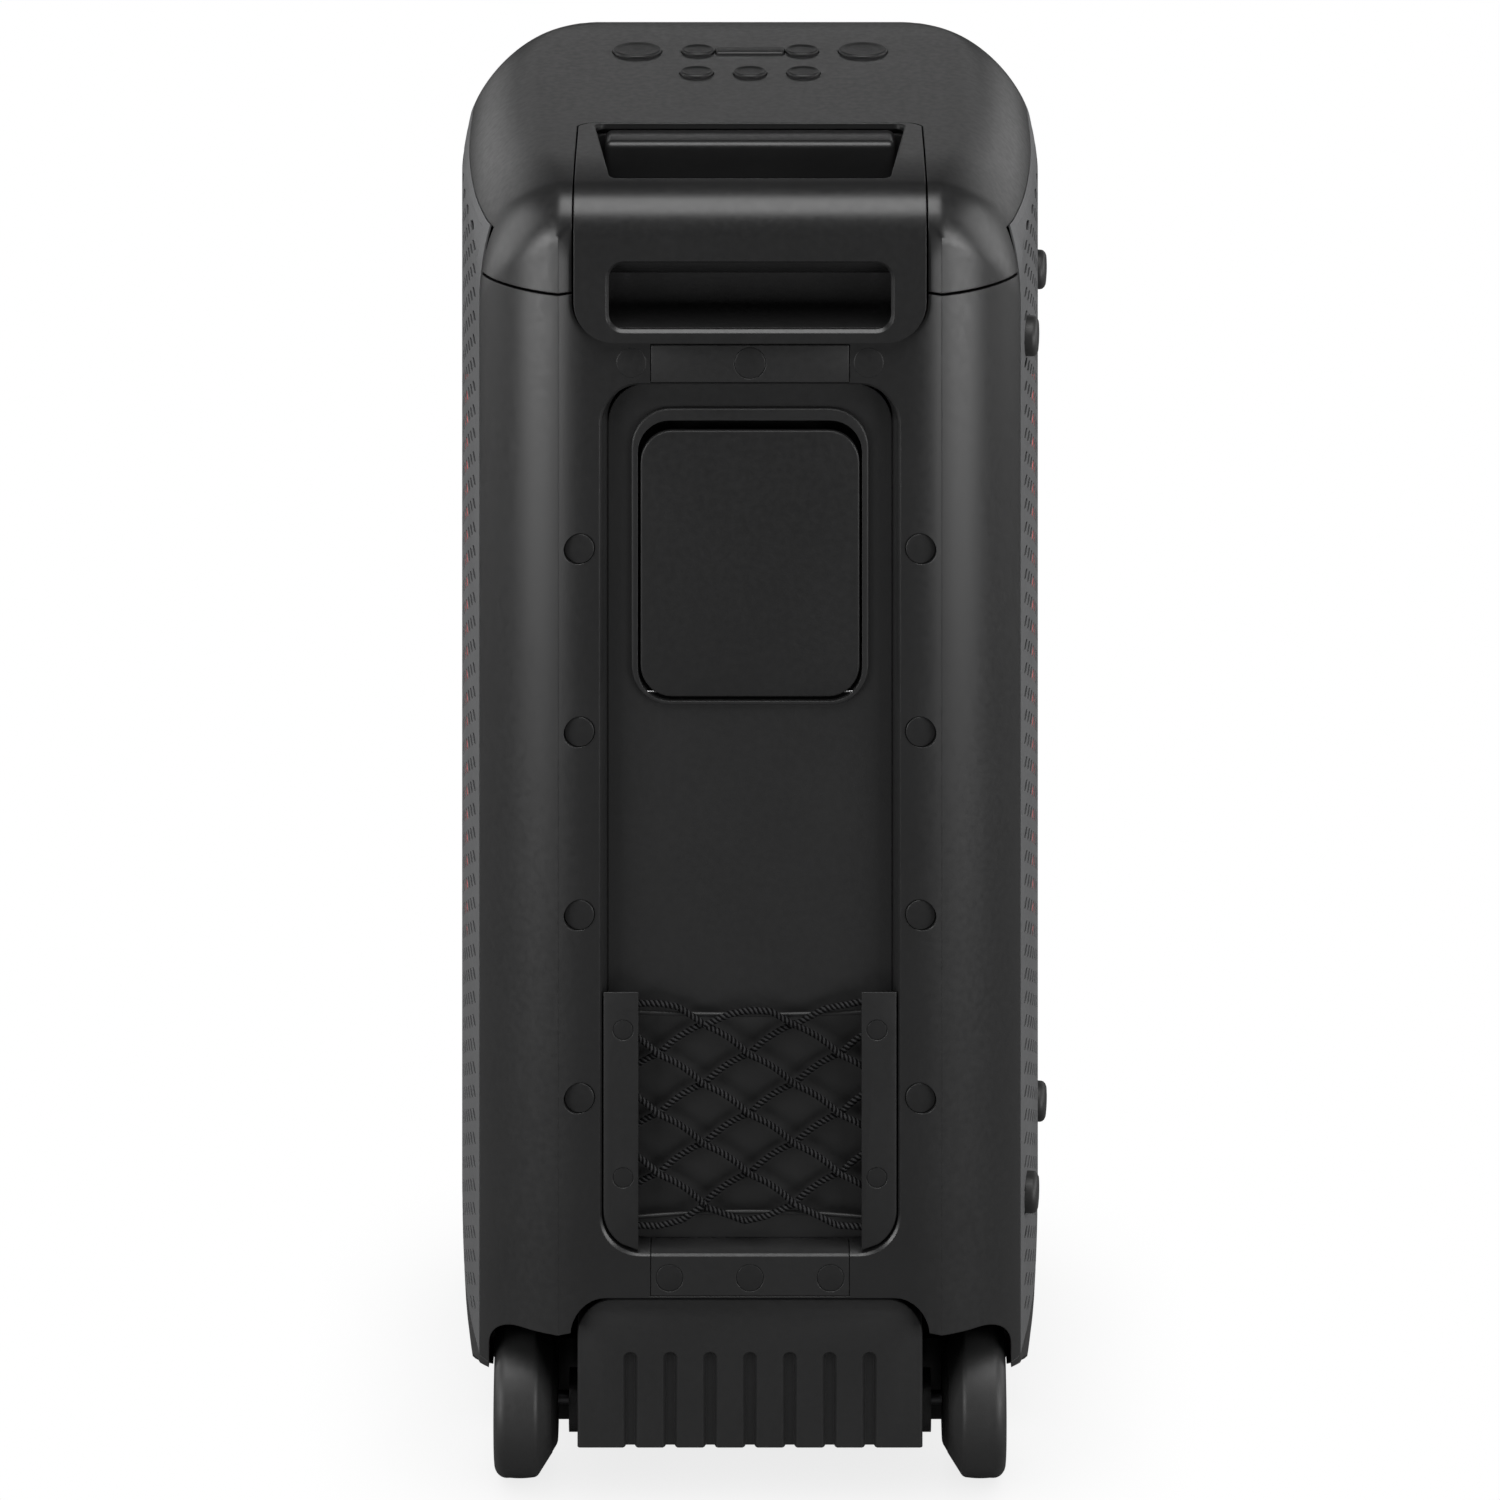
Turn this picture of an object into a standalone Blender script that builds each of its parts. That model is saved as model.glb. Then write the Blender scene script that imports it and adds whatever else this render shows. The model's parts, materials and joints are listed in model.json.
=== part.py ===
"""Party speaker on two wheels, with a telescopic handle, a flap over its sockets and a cord net.

The frame: +Z is up with the floor at z = 0, the grille faces -Y, the handle and the wheels are at +Y.
Depths are measured from the rearmost plane of the cabinet towards the grille.
"""

import math

import bmesh
import bpy
from mathutils import Matrix, Vector

# Driving dimensions, in metres.
GAP = 0.0003
REAR_Y = 0.185
BODY_DEPTH = 0.370
HALF_WIDTH = 0.181
TOP_Z = 0.789
BASE_Z = 0.036
BASE_TOP = 0.0765
HOUSING_TOP = 0.7263
GRILLE_TOP = 0.753
WALL = 0.0035

WIDEST_DEPTH = 0.240
CHANNEL_DEPTH = 0.006
CHANNEL_HALF = 0.0885
RIDGE_X = 0.1141
LOBE_RADIUS = 0.0838
LOBE_START, LOBE_END = math.radians(18), math.radians(62)
SIDE_RADIUS = 1.129
CORNER_POWER = 4.4
SHOULDER_Z, SHOULDER_WIDTH, SHOULDER_POWER = 0.7393, 0.047, 1.527
REAR_EDGE, FRONT_EDGE, BOTTOM_EDGE = 0.028, 0.0205, 0.030
REAR_CROWN, FRONT_CROWN = (0.0025, 0.048), (0.0018, 0.0394)
TAPER_Z, TAPER_HEIGHT, TAPER_IN = 0.160, 0.100, 0.0055
CREASE_BLEND = 0.012
ROOF_FOOT = 0.705
ROOF_LEVELS = (0.714, 0.7393, 0.750, 0.760, 0.7685, 0.7755, 0.781, 0.7850, 0.7878, 0.7895, 0.7905)
BOTTOM_STEPS = (25, 45, 65, 90)

RECESS_FLOOR = 0.0202
RECESS_LOW, RECESS_HIGH, RECESS_RADIUS = 0.1526, 0.6706, 0.024
RECESS_TOP_HALF, RECESS_FLOOR_HALF = 0.0885, 0.0851

WHEEL_RADIUS, WHEEL_DEPTH = 0.044, 0.055
WHEEL_IN, WHEEL_OUT = 0.1123, 0.1534
ARCH_TOP, ARCH_IN, ARCH_OUT = 0.107, 0.1037, 0.1565
AXLE_RADIUS = 0.004

BLOCK_HALF, BLOCK_TOP, BLOCK_BOTTOM = 0.1030, 0.1225, 0.0340
BLOCK_NEAR, BLOCK_FAR, BLOCK_CORNER = 0.013, 0.075, 0.021
GROOVE_PITCH, GROOVE_WIDTH, GROOVE_TOP = 0.0238, 0.0065, 0.0900

SURROUND_HALF, SURROUND_FRONT, SURROUND_LOW = 0.1050, 0.1310, 0.6973
POCKET_HALF, POCKET_LOW, POCKET_HIGH = 0.0840, 0.7051, 0.7444
GRIP_HALF, GRIP_NEAR, GRIP_FAR = 0.0886, 0.1025, 0.1290
GRIP_TOP, GRIP_BOTTOM = 0.7860, 0.7605
CARRY_BAR_FAR = 0.043
POST_X, POST_RADIUS, POST_BOTTOM = 0.078, 0.0065, 0.310
POST_DEPTH = (GRIP_NEAR + GRIP_FAR) / 2

DOOR_HALF, DOOR_LOW, DOOR_HIGH, DOOR_CORNER = 0.0655, 0.4801, 0.6392, 0.019
DOOR_NEAR, DOOR_THICK = 0.0178, 0.0030
DOOR_AXIS_Z = DOOR_LOW + 0.0029
DOOR_AXIS_DEPTH = DOOR_NEAR + 0.0012
PIN_RADIUS, PIN_HOLE, PIN_REACH = 0.0005, 0.0007, 0.0633
WELL_HALF, WELL_LOW, WELL_HIGH, WELL_FAR, WELL_CORNER = 0.0670, 0.4778, 0.6455, 0.0500, 0.019

RAIL_IN, RAIL_TOP, RAIL_CORNER = 0.0666, 0.3089, 0.0236
NET_LOW, NET_HIGH = 0.1640, 0.3040
BRACKET_HALF, BRACKET_THICK = 0.0589, 0.0025
UPPER_BRACKET = (0.6722, 0.6943)
LOWER_BRACKET = (0.1280, 0.1508)
PLUG_RADIUS, PLUG_X, PLUG_THICK = 0.0088, 0.1017, 0.0026
PLUG_SOCKET = 0.0076
PLUG_HEIGHTS = (0.5734, 0.4643, 0.3553, 0.2463)

BAFFLE_BACK, BAFFLE_THICK = 0.3120, 0.012
WOOFER_Z, WOOFER_HOLE = 0.465, 0.094
TWEETER_X, TWEETER_Z, TWEETER_HOLE = 0.088, 0.668, 0.030

PARTS = "party_speaker"
HELPERS = "cutters"


# The scene and its collections

def clear_scene():
    for thing in list(bpy.data.objects):
        bpy.data.objects.remove(thing, do_unlink=True)
    for name in (PARTS, HELPERS):
        bpy.context.scene.collection.children.link(bpy.data.collections.new(name))


def material(name, colour, roughness, metallic=0.0):
    made = bpy.data.materials.new(name)
    made.use_nodes = True
    shader = made.node_tree.nodes["Principled BSDF"]
    shader.inputs["Base Color"].default_value = (*colour, 1.0)
    shader.inputs["Roughness"].default_value = roughness
    shader.inputs["Metallic"].default_value = metallic
    return made


def put(name, mesh, finish=None):
    """An object in the parts' collection, or, with no finish, a hidden helper."""
    made = bpy.data.objects.new(name, mesh)
    bpy.data.collections[PARTS if finish else HELPERS].objects.link(made)
    if finish:
        mesh.materials.append(finish)
        mesh.shade_smooth()
        mesh.set_sharp_from_angle(angle=math.radians(32))
    else:
        made.hide_render = True
        made.display_type = "WIRE"
    return made


def mesh_from(name, build):
    mesh = bpy.data.meshes.new(name)
    work = bmesh.new()
    build(work)
    bmesh.ops.recalc_face_normals(work, faces=work.faces)
    work.to_mesh(mesh)
    work.free()
    return mesh


# Basic shapes

def box(name, low, high, finish=None, bevel=0.0):
    low, high = Vector(low), Vector(high)
    size = high - low
    place = Matrix.Translation((low + high) / 2) @ Matrix.Diagonal((*size, 1))
    made = put(name, mesh_from(name, lambda work: bmesh.ops.create_cube(work, size=1, matrix=place)), finish)
    if bevel:
        round_edges(made, bevel)
    return made


def round_edges(thing, width, segments=2):
    modifier = thing.modifiers.new("rounded", "BEVEL")
    modifier.width = width
    modifier.segments = segments
    modifier.limit_method = "ANGLE"
    modifier.angle_limit = math.radians(40)


def rod(name, radius, start, end, finish=None, segments=20, far_radius=None):
    start, end = Vector(start), Vector(end)
    turn = (end - start).to_track_quat("Z", "Y").to_matrix().to_4x4()
    place = Matrix.Translation((start + end) / 2) @ turn

    def build(work):
        bmesh.ops.create_cone(
            work, cap_ends=True, segments=segments, radius1=radius,
            radius2=radius if far_radius is None else far_radius,
            depth=(end - start).length, matrix=place)

    return put(name, mesh_from(name, build), finish)


def rounded_rectangle(half_x, low, high, radius, steps=5):
    """Corner points, anticlockwise, of a rectangle from (-half_x, low) to (half_x, high)."""
    corners = (
        (half_x - radius, low + radius, -90), (half_x - radius, high - radius, 0),
        (radius - half_x, high - radius, 90), (radius - half_x, low + radius, 180))
    points = []
    for x, z, start in corners:
        for step in range(steps + 1):
            angle = math.radians(start + 90 * step / steps)
            points.append((x + radius * math.cos(angle), z + radius * math.sin(angle)))
    return points


def flat_outline(name, outline, thickness):
    """A mesh of a closed flat outline, centred on its plane, made from a filled 2D curve."""
    curve = bpy.data.curves.new(name, "CURVE")
    curve.dimensions = "2D"
    curve.fill_mode = "BOTH"
    curve.extrude = thickness / 2
    spline = curve.splines.new("POLY")
    spline.points.add(len(outline) - 1)
    for point, (x, y) in zip(spline.points, outline):
        point.co = (x, y, 0, 1)
    spline.use_cyclic_u = True
    guide = bpy.data.objects.new(name, curve)
    bpy.context.scene.collection.objects.link(guide)
    graph = bpy.context.evaluated_depsgraph_get()
    mesh = bpy.data.meshes.new_from_object(guide.evaluated_get(graph))
    bpy.data.objects.remove(guide, do_unlink=True)
    bpy.data.curves.remove(curve)
    work = bmesh.new()
    work.from_mesh(mesh)
    bmesh.ops.remove_doubles(work, verts=work.verts, dist=1e-6)
    bmesh.ops.recalc_face_normals(work, faces=work.faces)
    work.to_mesh(mesh)
    work.free()
    return mesh


def rear_slab(name, outline, near, far, finish=None):
    """A flat piece whose (x, z) outline faces the rear, between two depths."""
    mesh = flat_outline(name, outline, far - near)
    upright = Matrix.Rotation(math.radians(90), 4, "X")
    mesh.transform(Matrix.Translation((0, REAR_Y - (near + far) / 2, 0)) @ upright)
    return put(name, mesh, finish)


def turned(name, profile, centre, axis, finish=None, steps=32):
    """A Screw round `axis`. The profile's (radius, height) points run top to bottom on its outer side."""
    mesh = bpy.data.meshes.new(name)
    closed = profile[0][0] > 1e-6
    count = len(profile)
    edges = [(i, (i + 1) % count) for i in range(count if closed else count - 1)]
    mesh.from_pydata([(radius, 0, height) for radius, height in profile], edges, [])
    made = put(name, mesh, finish)
    screw = made.modifiers.new("turned", "SCREW")
    screw.steps = screw.render_steps = steps
    screw.use_merge_vertices = True
    screw.merge_threshold = 0.00001
    made.location = centre
    made.rotation_mode = "QUATERNION"
    made.rotation_quaternion = Vector(axis).to_track_quat("Z", "X" if abs(axis[0]) < 0.5 else "Y")
    return made


def lofted(name, rings, finish=None):
    """A closed solid through rings of equally many points."""
    def build(work):
        made = [[work.verts.new(point) for point in ring] for ring in rings]
        for lower, upper in zip(made, made[1:]):
            for i in range(len(lower)):
                j = (i + 1) % len(lower)
                work.faces.new((lower[i], lower[j], upper[j], upper[i]))
        bmesh.ops.triangulate(work, faces=work.faces)
        work.faces.new(made[0][::-1])
        work.faces.new(made[-1])

    return put(name, mesh_from(name, build), finish)


def combine(target, operation, others):
    for other in others:
        modifier = target.modifiers.new(other.name, "BOOLEAN")
        modifier.operation = operation
        modifier.object = other
    return target


def cut(target, *cutters):
    return combine(target, "DIFFERENCE", cutters)


def join(target, *others):
    return combine(target, "UNION", others)


def keep(target, *others):
    return combine(target, "INTERSECT", others)


# The cabinet's outer surface

def lobe_points(count):
    points = []
    for step in range(count + 1):
        angle = LOBE_START + (LOBE_END - LOBE_START) * step / count
        x = RIDGE_X + LOBE_RADIUS * (math.sin(angle) - math.sin(LOBE_START))
        points.append((x, LOBE_RADIUS * (math.cos(LOBE_START) - math.cos(angle))))
    return points


def side_points(count):
    first = lobe_points(1)[-1][1] + 0.006
    points = []
    for step in range(count):
        depth = first + (WIDEST_DEPTH - first) * step / count
        off = WIDEST_DEPTH - depth
        points.append((HALF_WIDTH - SIDE_RADIUS + math.sqrt(SIDE_RADIUS**2 - off**2), depth))
    return points


def front_points(count):
    """The front half of the plan is a quarter of a superellipse."""
    points = []
    for step in range(count + 1):
        angle = math.radians(90) * step / count
        x = HALF_WIDTH * max(math.cos(angle), 0) ** (2 / CORNER_POWER)
        depth = (BODY_DEPTH - WIDEST_DEPTH) * math.sin(angle) ** (2 / CORNER_POWER)
        points.append((x, WIDEST_DEPTH + depth))
    return points


def channel_points():
    """The sunk channel of the rear face and the hollow curve that climbs to the ridge."""
    run, rise = RIDGE_X - CHANNEL_HALF, CHANNEL_DEPTH
    radius = (run**2 + rise**2) / (2 * rise)
    points = [(0, CHANNEL_DEPTH), (CHANNEL_HALF, CHANNEL_DEPTH)]
    for part in (0.35, 0.65, 0.85):
        x = run * part
        points.append((CHANNEL_HALF + x, CHANNEL_DEPTH - radius + math.sqrt(radius**2 - x**2)))
    return points


def plan(channel):
    """The whole plan as (x, y), clockwise from the rear centre line."""
    rear = channel_points() if channel else [(0, 0), (SURROUND_HALF, 0)]
    half = rear + lobe_points(4) + side_points(3) + front_points(7)
    right = [(x, REAR_Y - depth) for x, depth in half]
    left = [(-x, y) for x, y in reversed(right[1:-1])]
    return right + left


def quarter(share):
    return 1 - math.sqrt(max(0.0, 1 - min(max(share, 0.0), 1.0) ** 2))


def side_limit(z):
    taper = TAPER_IN * (max(0.0, TAPER_Z - z) / TAPER_HEIGHT) ** 2
    return HALF_WIDTH - taper - BOTTOM_EDGE * quarter((BASE_Z + BOTTOM_EDGE - z) / BOTTOM_EDGE)


def end_limit(z):
    return REAR_Y - BOTTOM_EDGE * quarter((BASE_Z + BOTTOM_EDGE - z) / BOTTOM_EDGE)


def half_width(depth):
    """Half the plan's width at a depth, leaving the rear lobes out."""
    if depth < WIDEST_DEPTH:
        return HALF_WIDTH - SIDE_RADIUS + math.sqrt(SIDE_RADIUS**2 - (WIDEST_DEPTH - depth) ** 2)
    share = min((depth - WIDEST_DEPTH) / (BODY_DEPTH - WIDEST_DEPTH), 1.0)
    return HALF_WIDTH * (1 - share**CORNER_POWER) ** (1 / CORNER_POWER)


def lobe_depth(across):
    sine = math.sin(LOBE_START) + max(across - RIDGE_X, 0) / LOBE_RADIUS
    return LOBE_RADIUS * (math.cos(LOBE_START) - math.sqrt(1 - min(sine, math.sin(LOBE_END)) ** 2))


def fall(run, edge, drop, slope_run):
    """How far the roof has dropped at a run in from an end: a slow crown, then a round edge."""
    tilt = math.atan(2 * drop / slope_run)
    start = edge * (1 - math.sin(tilt))
    if run < start:
        return drop + edge * math.cos(tilt) - math.sqrt(edge**2 - (edge - max(run, 0)) ** 2)
    return drop * max((start + slope_run - run) / slope_run, 0) ** 2


def roof(x, y):
    """Height of the cabinet's top over a point of the plan."""
    across, depth = abs(x), REAR_Y - y
    share = min(max((half_width(depth) - across) / SHOULDER_WIDTH, 0.0), 1.0)
    rise = (1 - (1 - share) ** SHOULDER_POWER) ** (1 / SHOULDER_POWER)
    top = SHOULDER_Z + (TOP_Z - SHOULDER_Z) * rise
    if y > 0:
        return top - fall(depth - lobe_depth(across), REAR_EDGE, *REAR_CROWN)
    return top - fall(BODY_DEPTH - depth, FRONT_EDGE, *FRONT_CROWN)


def share_under_roof(x, y, z):
    """The share of a plan point's reach at which the roof comes down to height z."""
    low, high = 0.25, 1.0
    if z < ROOF_FOOT or roof(x, y) >= z:
        return 1.0
    for _ in range(34):
        middle = (low + high) / 2
        if roof(x * middle, y * middle) >= z - 1e-9:
            low = middle
        else:
            high = middle
    return low


def blended_minimum(a, b, width):
    near = max(width - abs(a - b), 0) / width if width > 1e-6 else 0
    return min(a, b) - near * near * width / 4


def section(z, inset=0.0, channel=True):
    """The cabinet's outline at height z, brought in by `inset` along its own normals."""
    z = min(z + inset, TOP_Z) if z > BASE_TOP else z
    points = []
    for x, y in plan(channel):
        across, along = abs(x), abs(y)
        plain = min(1.0, end_limit(z) / along) if along > 1e-6 else 1.0
        narrow = side_limit(z) / across if across > 1e-6 else 10.0
        reach = math.hypot(x, y)
        crease = CREASE_BLEND * (2 * across * along / reach**2) ** 2
        scale = blended_minimum(plain * reach, narrow * reach, crease) / reach
        scale = min(scale, share_under_roof(x, y, z))
        points.append(Vector((x * scale, y * scale)))
    if not inset:
        return [(p.x, p.y) for p in points]
    moved = []
    for i, point in enumerate(points):
        along = points[(i + 1) % len(points)] - points[i - 1]
        inward = Vector((along.y, -along.x)).normalized()
        moved.append(tuple(point + inward * inset))
    return moved


def heights(low, high):
    """Levels that follow the curvature of the bottom edge, the taper and the shoulders."""
    levels = [BASE_Z + BOTTOM_EDGE * (1 - math.cos(math.radians(a))) for a in BOTTOM_STEPS]
    levels += [0.110, TAPER_Z]
    levels += ROOF_LEVELS
    return [low] + [z for z in levels if low + 0.001 < z < high - 0.0003] + [high]


def envelope(name, low, high, inset=0.0, channel=True, finish=None):
    rings = [[(x, y, z) for x, y in section(z, inset, channel)] for z in heights(low, high)]
    return lofted(name, rings, finish)


def depth_box(name, near, far, low, high, half=0.3):
    return box(name, (-half, REAR_Y - far, low), (half, REAR_Y - near, high))


def mirrored_pair(make):
    return [make(side, 1 if side == "left" else -1) for side in ("left", "right")]


# Shells

def arch_cutters():
    made = []
    for sign in (1, -1):
        name = "arch_" + ("left" if sign > 0 else "right")
        y, z = REAR_Y - WHEEL_DEPTH, WHEEL_RADIUS
        reach = ARCH_TOP - z
        made.append(rod(name, reach, (sign * ARCH_IN, y, z), (sign * ARCH_OUT, y, z), segments=32))
        low = (min(sign * ARCH_IN, sign * ARCH_OUT), y, 0)
        high = (max(sign * ARCH_IN, sign * ARCH_OUT), REAR_Y + 0.02, ARCH_TOP - 0.0002)
        made.append(box(name + "_rear", low, high))
    return made


def block_opening():
    outline = rounded_rectangle(BLOCK_HALF + 0.0006, -0.05, BLOCK_TOP + 0.0006, BLOCK_CORNER)
    return rear_slab("block_opening", outline, -0.02, BLOCK_FAR + 0.0005)


def surround_opening(grow=0.0007):
    half, low = SURROUND_HALF + grow, SURROUND_LOW - grow
    outline = rounded_rectangle(half, low, low + 0.2, 0.024 + grow)
    return rear_slab("surround_opening", outline, -0.02, SURROUND_FRONT + grow)


def bracket_outline(limits, grow=0.0):
    low, high = limits
    half = BRACKET_HALF + grow
    return [(-half, low - grow), (half, low - grow), (half, high + grow), (-half, high + grow)]


def plug_places():
    return [(sign * PLUG_X, z) for sign in (1, -1) for z in PLUG_HEIGHTS]


def recess_cutter():
    rings = []
    stages = ((-0.01, RECESS_TOP_HALF + 0.002), (CHANNEL_DEPTH, RECESS_TOP_HALF),
              (RECESS_FLOOR, RECESS_FLOOR_HALF), (0.040, RECESS_FLOOR_HALF))
    for depth, half in stages:
        grow = half - RECESS_TOP_HALF
        outline = rounded_rectangle(half, RECESS_LOW - grow, RECESS_HIGH + grow, RECESS_RADIUS)
        rings.append([(x, REAR_Y - depth, z) for x, z in outline])
    return lofted("recess_cutter", rings)


def rear_housing(finish):
    front = BAFFLE_BACK - GAP
    made = envelope("rear_housing", BASE_TOP + GAP, HOUSING_TOP - GAP, finish=finish)
    keep(made, depth_box("rear_zone", -0.01, lobe_points(1)[-1][1], 0, 0.8))
    walls = envelope("inner_walls", BASE_TOP + GAP, HOUSING_TOP - GAP, inset=WALL)
    keep(walls, depth_box("wall_zone", 0.030, front, 0, 0.8))
    collar_outline = rounded_rectangle(0.0925, RECESS_LOW - 0.004, RECESS_HIGH + 0.004, 0.028)
    collar = rear_slab("recess_collar", collar_outline, 0.010, 0.0262)
    hollow = envelope("housing_hollow", BASE_TOP - 0.01, HOUSING_TOP + 0.01, inset=2 * WALL)
    join(made, walls)
    cut(made, hollow)
    join(made, collar)
    cut(made, recess_cutter(), block_opening(), surround_opening(), *arch_cutters())
    for name, limits in (("upper", UPPER_BRACKET), ("lower", LOWER_BRACKET)):
        pocket = rear_slab(name + "_pocket", bracket_outline(limits, GAP), -0.01,
                           CHANNEL_DEPTH - 0.0008 + BRACKET_THICK + GAP)
        cut(made, pocket)
    for i, (x, z) in enumerate(plug_places()):
        start = (x, REAR_Y + 0.01, z)
        end = (x, REAR_Y - PLUG_SOCKET, z)
        cut(made, rod(f"plug_socket_{i}", PLUG_RADIUS + GAP, start, end, segments=16))
    for modifier in made.modifiers:
        modifier.solver = "MANIFOLD"
    return made


def bottom_base(finish):
    made = envelope("bottom_base", BASE_Z, BASE_TOP, finish=finish)
    hollow = envelope("base_hollow", BASE_Z + WALL, BASE_TOP + 0.01, inset=WALL)
    return cut(made, hollow, block_opening_low(), *arch_cutters_low(), *arch_flanks())


def block_opening_low():
    return depth_box("block_opening_low", -0.02, BLOCK_FAR + 0.0005, 0, 0.2, BLOCK_HALF + 0.0006)


def arch_flanks():
    """Openings in the side walls that bare the wheels' lower halves. Their edge slopes down ahead of the wheel."""
    edge = [(-0.02, 0.0735), (0.030, 0.0735), (0.050, 0.0700), (0.070, 0.0625), (0.090, 0.0515),
            (0.108, 0.0380), (0.122, 0.0200), (0.128, 0.0), (-0.02, 0.0)]
    made = []
    for i, sign in enumerate((1, -1)):
        rings = [[(sign * x, REAR_Y - depth, z) for depth, z in edge] for x in (ARCH_OUT - 0.0010, 0.20)]
        made.append(lofted(f"arch_flank_{i}", rings))
    return made


def arch_cutters_low():
    """Under the axle the arches open downwards and rearwards."""
    far = WHEEL_DEPTH + 0.060
    return [box(f"arch_low_{i}", (min(a, b), REAR_Y - far, 0), (max(a, b), REAR_Y + 0.02, 0.2))
            for i, (a, b) in enumerate(((ARCH_IN - 0.0010, ARCH_OUT), (0.0010 - ARCH_IN, -ARCH_OUT)))]


def top_cover(finish, button_holes):
    made = envelope("top_cover", HOUSING_TOP, TOP_Z, channel=False, finish=finish)
    hollow = envelope("cover_hollow", HOUSING_TOP - 0.01, TOP_Z - WALL, inset=WALL, channel=False)
    side_step = depth_box("grille_step", lobe_points(1)[-1][1] + 0.0005, 0.5, 0.70, GRILLE_TOP + 0.0005)
    return cut(made, hollow, side_step, surround_opening(), *button_holes)


def front_grille(finish, feet_holes):
    seam = lobe_points(1)[-1][1] + 0.0012
    made = envelope("front_grille", BASE_TOP + 0.0005, GRILLE_TOP, finish=finish)
    hollow = envelope("grille_hollow", BASE_TOP - 0.005, GRILLE_TOP + 0.005, inset=0.0016)
    return cut(made, hollow, depth_box("grille_end", -0.05, seam, 0, 0.8), *feet_holes)


def front_baffle(finish):
    made = envelope("front_baffle", BASE_TOP + 0.003, GRILLE_TOP - 0.001, inset=0.0024, finish=finish)
    keep(made, depth_box("baffle_zone", BAFFLE_BACK, BAFFLE_BACK + BAFFLE_THICK, 0, 0.8))
    holes = [rod("woofer_hole", WOOFER_HOLE, (0, 0, WOOFER_Z), (0, -0.3, WOOFER_Z), segments=40)]
    for i, x in enumerate((TWEETER_X, -TWEETER_X)):
        start, end = (x, 0, TWEETER_Z), (x, -0.3, TWEETER_Z)
        holes.append(rod(f"tweeter_hole_{i}", TWEETER_HOLE, start, end, segments=24))
    return cut(made, *holes)


# Rear panel, door and sockets

def rear_panel(finish):
    half = RECESS_FLOOR_HALF - GAP
    low, high = RECESS_LOW + 0.0034 + GAP, RECESS_HIGH - 0.0034 - GAP
    made = rear_slab("rear_panel", rounded_rectangle(half, low, high, 0.0237), RECESS_FLOOR, 0.0235, finish)
    outer = rounded_rectangle(WELL_HALF + 0.003, WELL_LOW - 0.003, WELL_HIGH + 0.003, 0.022)
    join(made, rear_slab("socket_box", outer, 0.0225, WELL_FAR + 0.003))
    well = rounded_rectangle(WELL_HALF, WELL_LOW, WELL_HIGH, WELL_CORNER)
    return cut(made, rear_slab("socket_well", well, -0.01, WELL_FAR))


def door_frame(finish):
    outline = rounded_rectangle(0.0711, 0.4752, 0.6527, 0.0235)
    opening = rounded_rectangle(WELL_HALF, WELL_LOW, WELL_HIGH, WELL_CORNER)
    made = rear_slab("door_frame", outline, 0.0172, RECESS_FLOOR - GAP, finish)
    cut(made, rear_slab("frame_opening", opening, -0.01, 0.03))
    return cut(made, pin_along_axis("pin_seats", PIN_HOLE, PIN_REACH + 0.0003))


def door_hinge_place():
    return Vector((0, REAR_Y - DOOR_AXIS_DEPTH, DOOR_AXIS_Z))


def pin_along_axis(name, radius, reach, finish=None):
    place, half = door_hinge_place(), Vector((reach, 0, 0))
    return rod(name, radius, place - half, place + half, finish, segments=12)


def jack_door(finish):
    outline = rounded_rectangle(DOOR_HALF, DOOR_LOW, DOOR_HIGH, DOOR_CORNER)
    made = rear_slab("jack_door", outline, DOOR_NEAR, DOOR_NEAR + DOOR_THICK, finish)
    return cut(made, pin_along_axis("door_bore", PIN_HOLE, DOOR_HALF))


def door_pin(finish):
    return pin_along_axis("door_pin", PIN_RADIUS, PIN_REACH, finish)


KNOBS = (("microphone_knob", 0.034), ("guitar_knob", -0.034))
KNOB_Z, KNOB_RADIUS, PLATE_NEAR = 0.612, 0.0085, 0.0440


def jack_plate(finish):
    near, far = PLATE_NEAR, WELL_FAR - GAP
    outline = rounded_rectangle(WELL_HALF - 0.0006, WELL_LOW + 0.0006, WELL_HIGH - 0.0006, 0.0184)
    made = rear_slab("jack_plate", outline, near, far, finish)
    sockets = ((0.034, 0.578, 0.0085, 0.0036), (-0.034, 0.578, 0.0085, 0.0036), (0.0, 0.578, 0.0050, 0.0020))
    for i, (x, z, collar, hole) in enumerate(sockets):
        rear, front = (x, REAR_Y - near + 0.0025, z), (x, REAR_Y - near - 0.001, z)
        join(made, rod(f"socket_collar_{i}", collar, rear, front, segments=20))
        cut(made, rod(f"socket_hole_{i}", hole, (x, REAR_Y, z), (x, REAR_Y - near - 0.003, z), segments=16))
    usb = box("usb_hole", (-0.0068, REAR_Y - near - 0.003, 0.542), (0.0068, REAR_Y, 0.5475))
    inlet = rear_slab("inlet_hole", rounded_rectangle(0.0125, 0.500, 0.516, 0.0075), 0, near + 0.004)
    return cut(made, usb, inlet)


def volume_knob(name, x, finish):
    bottom, top = REAR_Y - PLATE_NEAR + GAP, REAR_Y - 0.0320
    profile = [(0, top), (KNOB_RADIUS - 0.0015, top), (KNOB_RADIUS - 0.0004, top - 0.0012),
               (KNOB_RADIUS, bottom), (0, bottom)]
    made = turned(name, [(r, h - bottom) for r, h in profile], (x, bottom, KNOB_Z), (0, 1, 0), finish, 20)
    slot = box(name + "_mark", (x - 0.0008, top - 0.0010, KNOB_Z), (x + 0.0008, top + 0.01, KNOB_Z + 0.02))
    return cut(made, slot)


# Handle

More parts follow.
